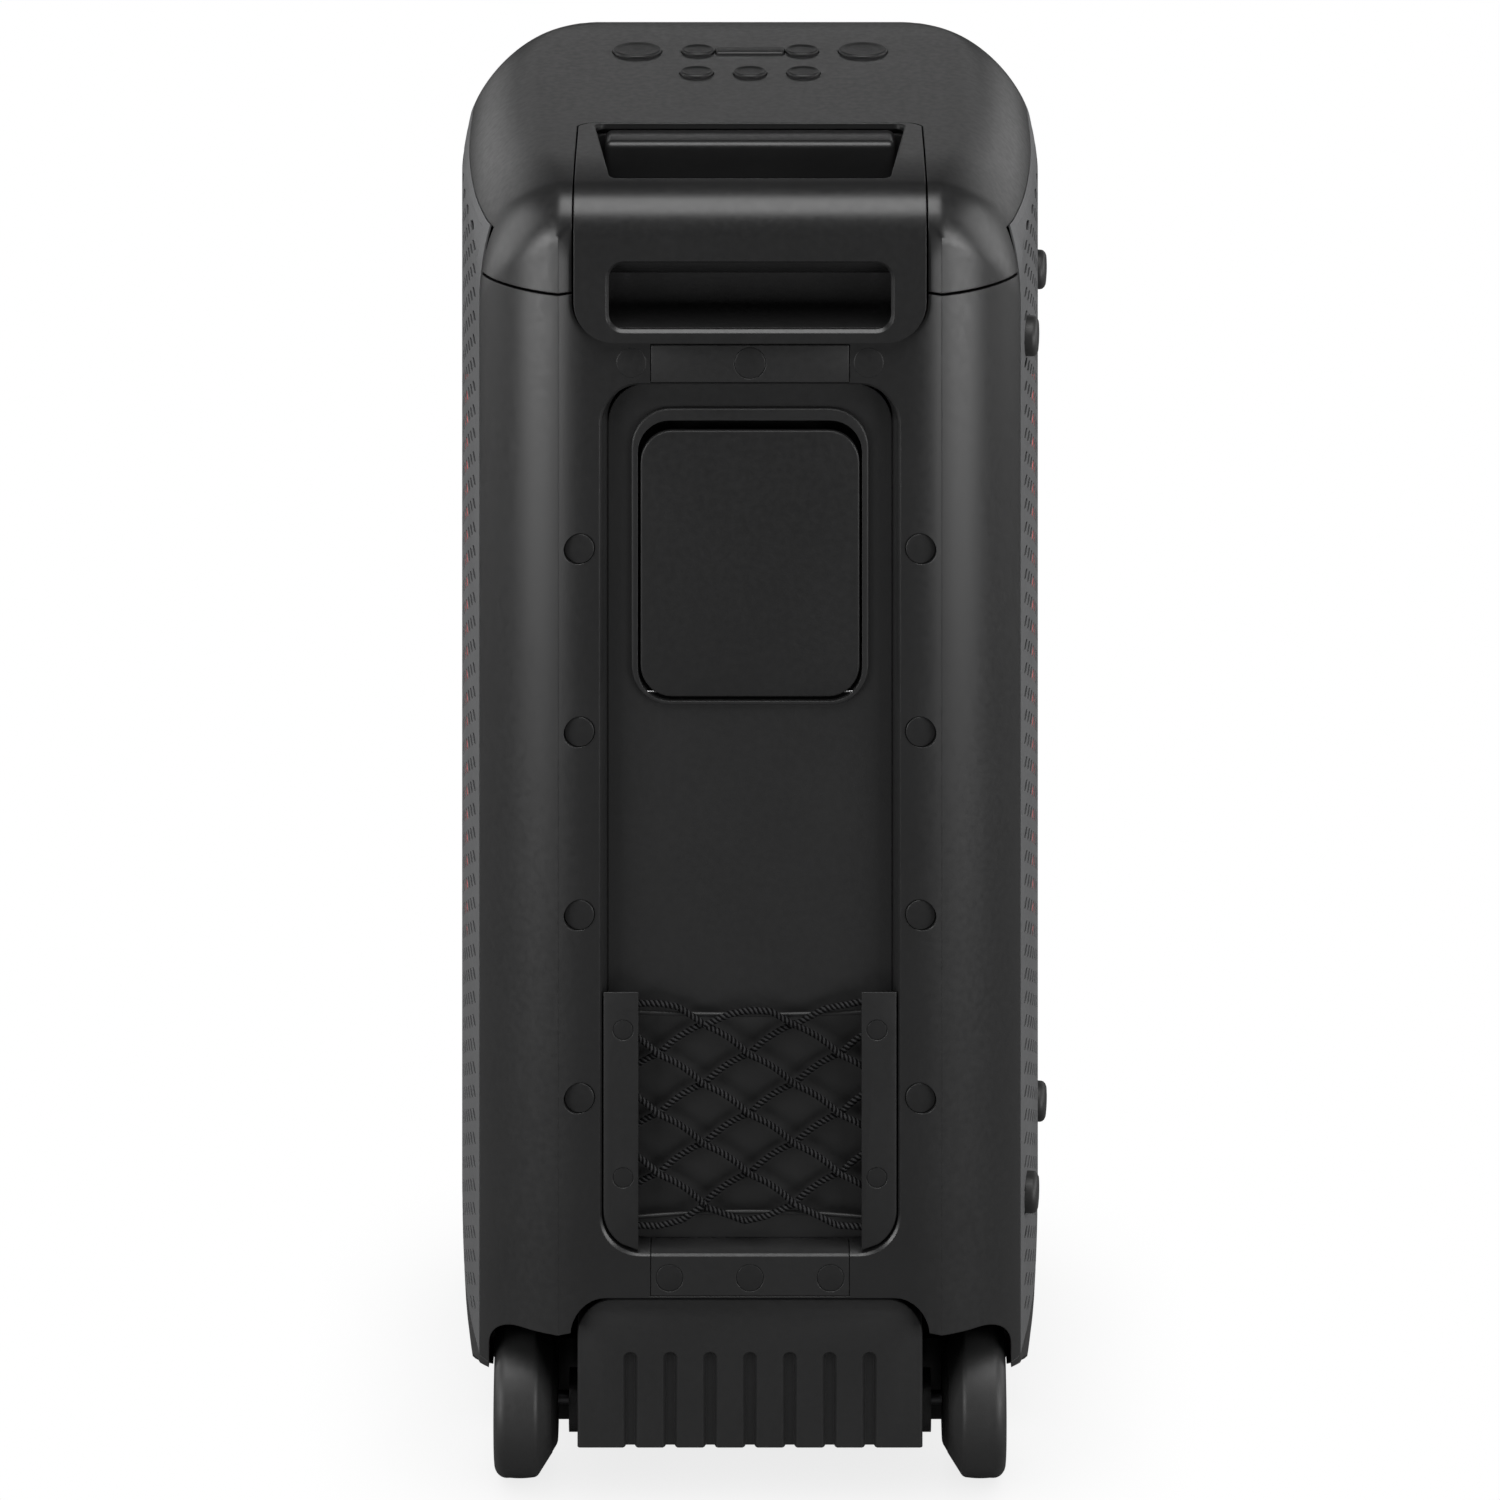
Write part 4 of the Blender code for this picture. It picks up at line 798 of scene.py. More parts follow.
def grille_sheet():
    rhombus, leaf = tile_outlines()
    total = LENGTHS[-1]
    across = int((total - 0.012) / TILE_WIDTH)
    bottom, top = BASE_TOP + 0.0005, GRILLE_TOP
    rows = int((top - bottom - 0.006) / TILE_HEIGHT)
    left = (total - across * TILE_WIDTH) / 2
    base = (top + bottom - rows * TILE_HEIGHT) / 2
    right, roof = left + across * TILE_WIDTH, base + rows * TILE_HEIGHT
    points, faces, holes = [], [], []

    def add_face(flat, fill=True):
        start = len(points)
        points.extend(flat)
        if fill:
            faces.append(tuple(range(start, start + len(flat))))

    for doubled in range(2 * across + 1):
        for row in range(2 * rows + 1):
            if (doubled + row) % 2 == 0:
                continue
            centre = np.array([left + doubled * TILE_WIDTH / 2, base + row * TILE_HEIGHT / 2])
            inside = 0 < doubled < 2 * across and 0 < row < 2 * rows
            if inside:
                start = len(points)
                points.extend(centre + rhombus)
                points.extend(centre + leaf)
                holes.append(range(start + 8, start + 16))
                for i in range(8):
                    j = (i + 1) % 8
                    faces.append((start + i, start + j, start + 8 + j, start + 8 + i))
                continue
            clipped = np.clip(centre + rhombus, (left, base), (right, roof))
            add_face(clipped[[i for i in range(8) if i == 0 or np.linalg.norm(clipped[i] - clipped[i - 1]) > 1e-7]])
    s_marks = [left + i * TILE_WIDTH / 2 for i in range(2 * across + 1)]
    z_marks = [base + i * TILE_HEIGHT / 2 for i in range(2 * rows + 1)]
    for a, b in zip(s_marks, s_marks[1:]):
        add_face([(a, bottom), (b, bottom), (b, base), (a, base)])
        add_face([(a, roof), (b, roof), (b, top), (a, top)])
    for a, b in zip(z_marks, z_marks[1:]):
        add_face([(0, a), (left, a), (left, b), (0, b)])
        add_face([(right, a), (total, a), (total, b), (right, b)])
    for a, b in ((0, left), (right, total)):
        add_face([(a, bottom), (b, bottom), (b, base), (a, base)])
        add_face([(a, roof), (b, roof), (b, top), (a, top)])
    flat = np.array([tuple(p) for p in points])
    outer = on_sheet(flat[:, 0], flat[:, 1])
    mesh = mesh_of(outer, faces)
    work = bmesh.new()
    work.from_mesh(mesh)
    bmesh.ops.remove_doubles(work, verts=work.verts, dist=2e-5)
    bmesh.ops.recalc_face_normals(work, faces=work.faces)
    work.to_mesh(mesh)
    work.free()
    return mesh


def thickened(mesh, amount):
    made = bpy.data.objects.new("sheet", mesh)
    bpy.context.scene.collection.objects.link(made)
    modifier = made.modifiers.new("thickness", "SOLIDIFY")
    modifier.thickness = amount
    modifier.offset = -1
    bpy.context.view_layer.update()
    result = bpy.data.meshes.new_from_object(made.evaluated_get(bpy.context.evaluated_depsgraph_get()))
    bpy.data.objects.remove(made, do_unlink=True)
    return result


def band_on_sheet(depth_near, depth_far, bottom, top, inset, thick, sign):
    """A strip that follows the cabinet's side between two depths."""
    flat = PATH[:len(PATH) // 2]
    spots = np.interp([depth_near, depth_far], REAR_Y - flat[:, 1], LENGTHS[:len(flat)])
    total = LENGTHS[-1]
    s = np.linspace(spots[0], spots[1], 6)
    s = s if sign > 0 else total - s
    rings = []
    for z in np.linspace(bottom, top, 40):
        outer = on_sheet(s, np.full(6, z), inset)
        inner = on_sheet(s[::-1], np.full(6, z), inset + thick)
        rings.append([tuple(p) for p in np.concatenate([outer, inner])])
    return loft(rings)


def build_grille():
    sheet = thickened(grille_sheet(), SHEET)
    show("grille_sheet", sheet, "cabinet", "grille_metal", "front_grille", sharp=40)
    for side_name, sign in (("left", 1), ("right", -1)):
        strip = band_on_sheet(0.112, 0.134, 0.300, 0.640, 0.0005, 0.0012, sign)
        show(f"side_light_pipe_{side_name}", strip, "cabinet", "light_diffuser")


# Rear panel, door and sockets

WELL_HALF, WELL_LOW, WELL_HIGH, WELL_CORNER = 0.0670, 0.4778, 0.6455, 0.019


def build_rear():
    first, last = low("rear_panel"), high("rear_panel")
    well_far = REAR_Y - (first.y + 0.003)
    panel = plate(last.x, first.z, last.z, 0.0237, PANEL_NEAR, 0.0235)
    tub = plate(WELL_HALF + 0.003, WELL_LOW - 0.003, WELL_HIGH + 0.003, 0.022, 0.0225, well_far + 0.003)
    hole = plate(WELL_HALF, WELL_LOW, WELL_HIGH, WELL_CORNER, -0.01, well_far)
    show("rear_panel_moulding", carved(panel, ("UNION", tub), ("DIFFERENCE", hole)),
         "cabinet", "panel_plastic", "rear_panel")
    first, last = low("door_frame"), high("door_frame")
    near, far = REAR_Y - last.y, REAR_Y - first.y
    ring = plate(last.x, first.z, last.z, 0.0235, near, far, edge=0.0014)
    hole = plate(WELL_HALF + 0.010, WELL_LOW - 0.010, WELL_HIGH + 0.010, WELL_CORNER + 0.010, near - 0.0088,
                 near + 0.0012 + 0.0, edge=-0.010)
    straight = plate(WELL_HALF, WELL_LOW, WELL_HIGH, WELL_CORNER, -0.01, 0.03)
    show("door_ring", cut(ring, straight), "cabinet", "panel_plastic", "door_frame")
    first, last = low("jack_door"), high("jack_door")
    door = plate(last.x, first.z, last.z, 0.019, REAR_Y - last.y, REAR_Y - first.y, edge=0.0011)
    show("socket_door", door, "socket_door", "trim_plastic", "jack_door")
    place = middle("door_pin")
    reach = high("door_pin").x
    pin = rod(0.0005, (-reach, place.y, place.z), (reach, place.y, place.z), 24)
    show("door_hinge_pin", pin, "cabinet", "steel", "door_pin")
    build_sockets()


def knurled(radius, bottom, top, ribs=24):
    """A dial with fluted sides and a crowned face, standing along +Y."""
    rings = []
    levels = ((bottom, 1.0), (top - 0.0016, 0.97), (top - 0.0006, 0.93), (top, 0.80), (top + 0.0002, 0.3))
    for y, size in levels:
        ring = []
        for i in range(ribs * 6):
            angle = math.tau * i / (ribs * 6)
            flute = 1 - 0.035 * (0.5 + 0.5 * math.cos(angle * ribs)) * (size > 0.9)
            ring.append((radius * size * flute * math.cos(angle), y, radius * size * flute * math.sin(angle)))
        rings.append(ring)
    return loft(rings)


def build_sockets():
    first, last = low("jack_plate"), high("jack_plate")
    face = last.y - 0.0025
    body = plate(last.x, first.z, last.z, 0.0184, REAR_Y - face, REAR_Y - first.y, edge=0.0008)
    steps = []
    centre_z = middle("microphone_knob").z - 0.034
    for x, collar, hole in ((0.034, 0.0085, 0.0036), (-0.034, 0.0085, 0.0036), (0.0, 0.0050, 0.0020)):
        spot = Vector((x, 0, centre_z))
        rise = face + 0.0025
        profile = [(0, face - 0.001), (collar, face - 0.001), (collar, rise - 0.0006), (collar - 0.0006, rise),
                   (hole + 0.0008, rise), (hole + 0.0002, rise - 0.0006), (0, rise - 0.0006)]
        steps.append(("UNION", lathe(profile, spot, (0, 1, 0), 48)))
        steps.append(("DIFFERENCE", rod(hole, (x, rise + 0.01, centre_z), (x, face - 0.003, centre_z), 32)))
    steps.append(("DIFFERENCE", plate(0.0068, 0.542, 0.5475, 0.0012, REAR_Y - face - 0.002, REAR_Y - face + 0.003)))
    steps.append(("DIFFERENCE", plate(0.0125, 0.500, 0.516, 0.0075, REAR_Y - face - 0.002, REAR_Y - face + 0.004)))
    show("socket_plate", carved(body, *steps), "cabinet", "trim_plastic", "jack_plate")
    for name, body_name in (("microphone_knob", "microphone_dial"), ("guitar_knob", "guitar_dial")):
        place, top, bottom = middle(name), high(name).y, low(name).y
        radius = (high(name).x - low(name).x) / 2
        dial = knurled(radius, bottom, top - 0.0003)
        dial.transform(Matrix.Translation((place.x, 0, place.z)))
        mark = block((place.x - 0.0007, top - 0.0009, place.z + 0.001), (place.x + 0.0007, top + 0.01, place.z + 0.02))
        show(body_name + "_knob", cut(dial, mark), body_name, "trim_plastic", name)


# Brackets, plugs, rails and net

def plug(place, radius, rise, name, slot="trim_plastic", node_name=None):
    """A flat round plug with a softened rim, its face at y = rise."""
    profile = [(0, 0), *reversed([(r, h) for r, h in round_rim(radius, 0, 0.0004)])][::-1]
    profile = profile[::-1]
    profile = [(0, 0.0)] + [(r, h) for r, h in reversed(round_rim(radius, 0.0, 0.0004))]
    profile += [(radius, -0.0022), (0, -0.0022)]
    mesh = lathe(profile, (place[0], rise, place[1]), (0, 1, 0), 48)
    show(name, mesh, "cabinet", slot, *([node_name] if node_name else []))


def build_fittings():
    for name, row, radius in (("upper_bracket", (-0.0, 0.0), 0.0093), ("lower_bracket", (0.048, -0.048, 0.0), 0.0080)):
        first, last = low(name), high(name)
        upper = name == "upper_bracket"
        mesh = block(first, last, 0.0004, 2) if upper else lower_bracket_solid()
        face = last.y if upper else REAR_Y - CHANNEL_DEPTH + 0.0001
        spots = [x for x in dict.fromkeys(row)]
        height = middle(name).z + (0.0005 if upper else -0.0009)
        seats = [rod(radius + 0.0002, (x, face - 0.0006, height), (x, face + 0.01, height), 40) for x in spots]
        show(name + "_plate", cut(mesh, *seats), "cabinet", "panel_plastic", name)
        for i, x in enumerate(spots):
            plug((x, height), radius, face - 0.0002, f"{name}_plug_{i}")
    for name, place in plug_places():
        plug((place.x, place.z), PLUG_RADIUS, high(name).y, name + "_cap", node_name=name)
    for sign in (1, -1):
        for x in (0.0707,):
            tag = "left" if sign > 0 else "right"
            plug((sign * x, 0.6838), 0.0090, REAR_Y - CHANNEL_DEPTH + 0.0002, f"housing_plug_{tag}")
    build_rails()


def build_rails():
    for tag, sign in (("left", 1), ("right", -1)):
        name = f"net_rail_{tag}"
        first, last = low(name), high(name)
        inner, outer = sorted((abs(first.x), abs(last.x)))
        corner = 0.0236
        rings = []
        deep = last.y - first.y
        for depth, inset in ((0.0, 0.0012), (0.0003, 0.0005), (0.0012, 0.0), (deep, 0.0)):
            flare = 0.0030 * (1 - depth / deep) - inset
            edge, bottom, top = outer + flare, first.z - flare, last.z - inset * 0.3 - depth * 0.8
            turns = [math.radians(-90 + 90 * i / 14) for i in range(15)]
            bend = [(edge - corner + corner * math.cos(a), bottom + corner + corner * math.sin(a)) for a in turns]
            start = bottom + corner - math.sqrt(corner**2 - (inner - edge + corner)**2)
            outline = [(inner, start), *bend[-10:], (edge, top - 0.02), (edge, top), (inner, top)]
            rings.append([(sign * x, last.y - depth, z) for x, z in outline])
        mesh = loft(rings)
        middle_x = sign * (inner + outer) / 2
        seats = [rod(0.0062, (middle_x, last.y - 0.0006, z), (middle_x, last.y + 0.01, z), 40)
                 for z in (0.286, 0.198)]
        show(name + "_bar", cut(mesh, *seats), "cabinet", "panel_plastic", name, sharp=50)
        for i, z in enumerate((0.286, 0.198)):
            plug((middle_x, z), 0.0060, last.y - 0.0003, f"{name}_plug_{i}")


NET_PITCH_X, NET_ROWS = 0.0270, 7
NET_TOP, NET_BOTTOM = 0.2868, 0.1800
CORD, LAY = 0.0021, 0.0056
CORD_STEP = 0.0007


def net_curve(knots, lift):
    """A smooth path through (x, z) knots at one distance from the floor."""
    knots = np.array(knots, float)
    reach = np.concatenate([[0], np.cumsum(np.linalg.norm(np.diff(knots, axis=0), axis=1))])
    count = max(int(reach[-1] / CORD_STEP), 4)
    fine = np.linspace(0, reach[-1], count)
    x = np.interp(fine, reach, knots[:, 0])
    z = np.interp(fine, reach, knots[:, 1])
    kernel = np.ones(5) / 5
    for values in (x, z):
        values[2:-2] = np.convolve(values, kernel, "valid")
    return np.stack([x, np.full(count, lift), z], 1)


def net_leg(start, end, sag=0.12, count=9):
    """One side of a diamond, flatter under its upper node and steeper above its lower one."""
    share = np.linspace(0, 1, count)
    x = start[0] + (end[0] - start[0]) * share
    z = start[1] + (end[1] - start[1]) * (share - sag * np.sin(math.pi * share))
    return list(zip(x, z))


def net_nodes():
    """Rows of nodes from the top. Odd rows stand half a diamond aside."""
    fall = (NET_TOP - NET_BOTTOM) / (NET_ROWS - 1)
    return [NET_TOP - fall * row for row in range(NET_ROWS)], fall


def diagonal(column, row, direction, levels, fall, edge):
    """The cord that leaves node (column, row) downwards and sideways, until it meets the edge or the last row."""
    points = []
    x, r = column * NET_PITCH_X, row
    while r < NET_ROWS - 1 and abs(x) < edge:
        points += net_leg((x, levels[r]), (x + direction * NET_PITCH_X, levels[r + 1]))
        x += direction * NET_PITCH_X
        r += 1
    return points


def build_net():
    levels, fall = net_nodes()
    edge = low("net_rail_left").x + 0.003
    near = middle("cord_net").y
    front_y, back_y = near + 0.0014, near - 0.0016
    cords = []
    starts = {1: [(-1, 0), (1, 0), (-3, 0), (-3, 2), (-3, 4)], -1: [(1, 0), (-1, 0), (3, 0), (3, 2), (3, 4)]}
    for direction, lift in ((-1, front_y), (1, back_y)):
        for column, row in starts[direction]:
            points = diagonal(column, row, direction, levels, fall, 0.095)
            points = [p for p in points if abs(p[0]) <= edge]
            if len(points) > 3:
                cords.append(twisted(net_curve(points, lift), CORD, LAY))
    top, bottom = levels[0], levels[-1]
    rise, pitch = 0.0085, NET_PITCH_X
    arcs = [[(-edge, top + 0.0140), (-0.045, top + 0.0095), (-pitch, top)],
            [(-pitch, top), (-0.012, top + rise), (0, top + rise * 1.05), (0.012, top + rise * 0.8), (pitch, top)],
            [(pitch, top), (0.043, top + 0.0105), (0.054, top + 0.0125), (edge, top + 0.0125)],
            [(-edge, bottom - 0.0135), (-0.052, bottom - 0.0125), (-pitch, bottom)],
            [(-pitch, bottom), (-0.010, bottom - 0.0075), (0.003, bottom - 0.0105), (pitch, bottom - 0.002)],
            [(pitch, bottom), (0.040, bottom - 0.0090), (0.054, bottom - 0.0128), (edge, bottom - 0.0125)]]
    for i, knots in enumerate(arcs):
        cords.append(twisted(net_curve(knots, front_y if i % 2 else near), CORD, LAY))
    # Every other ply of each cord gets a lighter copy of the yarn: a painted highlight for the light on the plies'
    # crests, not a differently coloured yarn.
    dark, light = ([ply for cord in cords for ply in cord[first::2]] for first in (0, 1))
    show("cord_net_mesh", joined(*dark), "cabinet", "net_cord", "cord_net", sharp=80)
    painted_highlight_plies = show("cord_net_painted_highlight", joined(*light), "cabinet", "net_cord", sharp=80)
    painted_highlight_plies.data.materials[0] = braid("net_painted_highlight_yarn", (0.030, 0.030, 0.031))
    hems = []
    for level, sag in ((top + 0.0068, -0.0016), (bottom - 0.0090, 0.0034)):
        x = np.linspace(-edge, edge, 60)
        z = level + sag * (1 - (x / edge) ** 2)
        hems.append(tube(np.stack([x, np.full(60, back_y), z], 1), 0.0013, 12))
    show("net_elastic", joined(*hems), "cabinet", "trim_plastic", sharp=80)


# Handle

def surround_profile(inset):
    """The surround's (y, z) outline: up the rear, over the carry bar and forward, then back inside."""
    outer = [(REAR_Y, SURROUND_LOW)]
    turns = [REAR_EDGE * math.sin(math.radians(a)) for a in range(0, 85, 5)]
    base = TOP_Z - CROWN_DROP - REAR_EDGE
    levels = [base + turn for turn in turns if base + turn < TOP_Z - CROWN_DROP - 0.0002]
    levels += [TOP_Z - CROWN_DROP * (i / 6) ** 2 for i in range(6, -1, -1)]
    outer += [(REAR_Y - float(edge_inset(z, REAR_EDGE)), z) for z in levels]
    outer.append((REAR_Y - SURROUND_FRONT, TOP_Z))
    points = np.array(outer)
    along = np.gradient(points, axis=0)
    inward = np.stack([-along[:, 1], along[:, 0]], 1)
    inward /= np.linalg.norm(inward, axis=1)[:, None]
    inward[0], inward[-1] = (-1, 0), (0, -1)
    skin = points + inward * inset
    back = points + inward * WALL
    return [tuple(p) for p in skin] + [tuple(p) for p in back[::-1]]


def handle_surround():
    rings = []
    soft = 0.0040
    turns = [math.radians(90 * i / 5) for i in range(6)]
    ends = [(SURROUND_HALF - soft * (1 - math.cos(a)), 0.0030 * math.sin(a)) for a in reversed(turns)]
    for x, inset in [(-x, inset) for x, inset in ends] + [(0.0, 0.0)] + [(x, i) for x, i in reversed(ends)]:
        rings.append([(x, y, z) for y, z in surround_profile(inset)])
    zone = slab(rounded(SURROUND_HALF, SURROUND_LOW, SURROUND_LOW + 0.2, 0.024, 14), -0.02, SURROUND_FRONT)
    centre = Vector((0, REAR_Y - REAR_EDGE, TOP_Z - CROWN_DROP - REAR_EDGE))
    reach = Vector((0.0935, 0, 0))
    bar = cut(rod(REAR_EDGE - 0.0012, centre - reach, centre + reach, 96), depth_zone(0.043, 0.1, 0.7, 0.8))
    rim = 0.0018
    pocket = plate(POCKET_HALF + rim + 0.010, POCKET_LOW - rim - 0.010, POCKET_HIGH + rim + 0.010, 0.009 + rim + 0.010,
                   -0.010, rim)
    rings_pocket = []
    for depth, grow in ((-0.010, rim + 0.010), (rim, 0.0), (0.0060, 0.0)):
        outline = rounded(POCKET_HALF + grow, POCKET_LOW - grow, POCKET_HIGH + grow, 0.009 + grow)
        rings_pocket.append([(x, REAR_Y - depth, z) for x, z in outline])
    return carved(loft(rings), ("INTERSECT", zone), ("UNION", bar),
                  ("INTERSECT", footprint(SURROUND_HALF + 0.001, REAR_Y - SURROUND_FRONT, SURROUND_CORNER)),
                  ("DIFFERENCE", upper_opening()),
                  ("DIFFERENCE", loft(rings_pocket)))


def upper_opening():
    """Above the grip the surround is open, narrower towards the carry bar, with round corners and a chamfered rim."""
    rear, ahead = REAR_Y - REAR_EDGE, REAR_Y - SURROUND_FRONT + 0.0010

    def outline(grow):
        corners = [(0.0850 + grow, rear + grow, 0.006, 90), (0.0945 + grow, ahead - min(grow, 0.0004), 0.007, 0)]
        half = []
        for x, y, radius, first in corners:
            across, along = x - radius, y - radius if first else y + radius
            turns = [math.radians(first - 90 * i / 5) for i in range(6)]
            half += [(across + radius * math.cos(a), along + radius * math.sin(a)) for a in turns]
        return half + [(-x, y) for x, y in reversed(half)]

    rings = []
    for z, grow in ((TOP_Z - 0.014, 0.0), (TOP_Z - 0.0012, 0.0), (TOP_Z + 0.0088, 0.010)):
        rings.append([(x, y, z) for x, y in outline(grow)])
    return loft(rings)


def handle_well():
    """The bucket under the grip, with soft corners, open at the top and towards the lower pocket."""
    first, last = low("handle_well"), high("handle_well")
    skin, soft = 0.0025, 0.010
    body = block(first, last, 0.002, 2)
    inside = block(first + Vector((skin, skin, skin)), (last.x - skin, REAR_Y + 0.03, last.z + 0.03), soft, 6)
    made = cut(body, inside, depth_zone(-0.02, 0.034, SURROUND_LOW + 0.030, 0.9))
    holes = []
    for name in ("handle_post_left", "handle_post_right"):
        place = middle(name)
        holes.append(rod(0.0071, (place.x, place.y, 0.6), (place.x, place.y, 0.75), 40))
    return cut(made, *holes)


def build_handle():
    show("handle_surround_shell", handle_surround(), "cabinet", "handle_plastic", "handle_surround")
    tub = show("handle_well_tub", handle_well(), "cabinet", "handle_plastic", "handle_well")
    # The well's moulding is coloured far darker than the handle around it: painted shade for the deep hollow under the
    # grip.
    tub.data.materials[0] = finish("well_moulding_painted_shade", (0.0035, 0.0035, 0.0036), 0.60)
    first, last = low("handle_grip"), high("handle_grip")
    grip = block(first, last, 0.0042, 6)
    groove = block((first.x + 0.004, first.y + 0.0030, last.z - 0.0006),
                   (last.x - 0.004, first.y + 0.0038, last.z + 0.01))
    show("handle_grip_bar", cut(grip, groove), "handle", "handle_plastic", "handle_grip")
    for side_name in ("left", "right"):
        name = f"handle_post_{side_name}"
        place, bottom, top = middle(name), low(name).z, high(name).z
        radius = (high(name).x - low(name).x) / 2
        profile = [(0, top), (radius, top), (radius, top - 0.012), (radius - 0.0003, top - 0.0125),
                   (radius - 0.0003, bottom + 0.011), (radius, bottom + 0.010), (radius, bottom), (0, bottom)]
        show(name + "_tube", lathe(profile, (place.x, place.y, 0), (0, 0, 1), 48), "handle", "handle_tube", name)


# Wheels, base block and feet

def corner_arc(centre, radius, start, stop, steps=7):
    """Points of an arc in (radius, height), angles in degrees from the radial direction."""
    turns = [math.radians(start + (stop - start) * i / steps) for i in range(steps + 1)]
    return [(centre[0] + radius * math.cos(a), centre[1] + radius * math.sin(a)) for a in turns]


def tyre_profile(width):
    """(radius, height) from the inner face outwards: a long inner chamfer, a crowned tread and a round shoulder."""
    round_out, round_in = 0.0075, 0.0045
    chamfer = math.degrees(math.atan2(0.0150, 0.0097))
    near = corner_arc((WHEEL_RADIUS - 0.0005 - round_in, 0.0150), round_in, -chamfer, 0, 5)
    far = corner_arc((WHEEL_RADIUS - 0.0002 - round_out, width - round_out), round_out, 0, 90)
    start, stop = near[-1][1], far[0][1]
    crown = [(WHEEL_RADIUS - 0.0005 * (2 * i / 8 - 1) ** 2, start + (stop - start) * i / 8) for i in range(1, 8)]
    return [(0.0300, 0.0034), *near, *crown, *far, (0.0305, width - 0.0016), (0.0300, width - 0.0022)]


def build_wheels():
    width = WHEEL_OUT - WHEEL_IN
    for side_name, sign in (("left", 1), ("right", -1)):
        centre, axis, body = (sign * WHEEL_IN, WHEEL_Y, WHEEL_Z), (sign, 0, 0), f"{side_name}_wheel"
        tyre = lathe(tyre_profile(width), centre, axis, 128, True)
        show(f"tyre_{side_name}_tread", tyre, body, "tyre_rubber", f"tyre_{side_name}", sharp=50)
        outer, bore = 0.0297, 0.0043
        profile = [(bore, 0.0002), (0.0240, 0.0002), (0.0256, 0.0008), (0.0290, 0.0030), (outer, 0.0036),
                   (outer, width - 0.0020), (0.0275, width - 0.0020), (0.0245, width - 0.0056),
                   (0.0100, width - 0.0060), (0.0090, width - 0.0045), (bore, width - 0.0045)]
        hub = lathe(profile, centre, axis, 96, True)
        pockets = []
        for i in range(6):
            angle = math.tau * i / 6
            out = Vector((0, math.cos(angle), math.sin(angle))) * 0.0172
            start = Vector(centre) + out + Vector((sign * (width - 0.0085), 0, 0))
            pockets.append(rod(0.0052, start, start + Vector((sign * 0.02, 0, 0)), 32))
        show(f"wheel_hub_{side_name}_disc", cut(hub, *pockets), body, "hub_plastic", f"wheel_hub_{side_name}")
    reach = high("axle").x
    profile = [(0, -reach), (0.0032, -reach), (0.0040, 0.0008 - reach), (0.0040, reach - 0.0008), (0.0032, reach),
               (0, reach)]
    show("axle_rod", lathe(profile, (0, WHEEL_Y, WHEEL_Z), (1, 0, 0), 48), "cabinet", "axle_steel", "axle")


def base_block():
    first, last = low("base_block"), high("base_block")
    near, far = REAR_Y - last.y, REAR_Y - first.y
    bottom = 0.0340
    outline = []
    rings = []
    for depth, inset in ((near, 0.0016), (near + 0.0005, 0.0005), (near + 0.0016, 0.0), (far, 0.0)):
        full = rounded(BLOCK_HALF - inset, bottom - 0.03, BLOCK_TOP - inset, BLOCK_CORNER - inset, 12)
        outline = [(x, max(z, bottom)) for x, z in full]
        rings.append([(x, REAR_Y - depth, z) for x, z in outline])
    made = loft(rings)
    boss_end = last.x
    boss = rod(0.0176, (-boss_end, WHEEL_Y, WHEEL_Z - 0.0015), (boss_end, WHEEL_Y, WHEEL_Z - 0.0015), 72)
    steps = [("UNION", boss)]
    for i in range(-3, 4):
        half, top = 0.0034, 0.0900
        rings = []
        for depth, grow in ((near - 0.010, 0.0111), (near + 0.0011, 0.0), (near + 0.0036, -0.0008)):
            outline = rounded(half + grow, -0.02, top + grow, half + grow - 0.0001, 6)
            rings.append([(i * 0.0238 + x, REAR_Y - depth, z) for x, z in outline])
        steps.append(("DIFFERENCE", loft(rings)))
    steps.append(("DIFFERENCE", rod(0.0042, (-0.12, WHEEL_Y, WHEEL_Z), (0.12, WHEEL_Y, WHEEL_Z), 32)))
    return carved(made, *steps)


def build_base():
    show("base_block_moulding", base_block(), "cabinet", "block_plastic", "base_block")
    for side_name, sign in (("left", 1), ("right", -1)):
        name = f"front_foot_{side_name}"
        first, last = low(name), high(name)
        centre = (first + last) / 2
        half = (last - first) / 2
        rings = []
        for share, grow in ((0.0, -0.0045), (0.03, -0.0032), (0.09, -0.0020), (0.5, 0.0), (1.0, 0.0)):
            z = first.z + (last.z - first.z) * share
            outline = rounded(half.x + grow, -half.y - grow, half.y + grow, 0.012 + grow, 8)
            rings.append([(centre.x + x, centre.y + y, z) for x, y in outline])
        show(name + "_pad", loft(rings), "cabinet", "tyre_rubber", name, sharp=50)
    tilt = math.radians(7)
    axis = Vector((-math.cos(tilt), math.sin(tilt), 0))
    for name in ("upper_rear", "upper_front", "lower_rear", "lower_front"):
        node_name = f"side_foot_{name}"
        place = middle(node_name)
        reach = -low(node_name).x
        tip = Vector((-(reach - 0.0014), place.y - 0.0004, place.z))
        profile = [(0, -0.0006), (0.0040, -0.0006), (0.0052, -0.0002), (0.0070, 0), (0.0090, -0.0002),
                   (0.0104, -0.0009), (0.0114, -0.0020), (0.0118, -0.0034), (0.0118, -0.0075), (0, -0.0075)]
        show(node_name + "_stud", lathe(profile, tip, axis, 56), "cabinet", "tyre_rubber", node_name, sharp=50)


# Keys on top

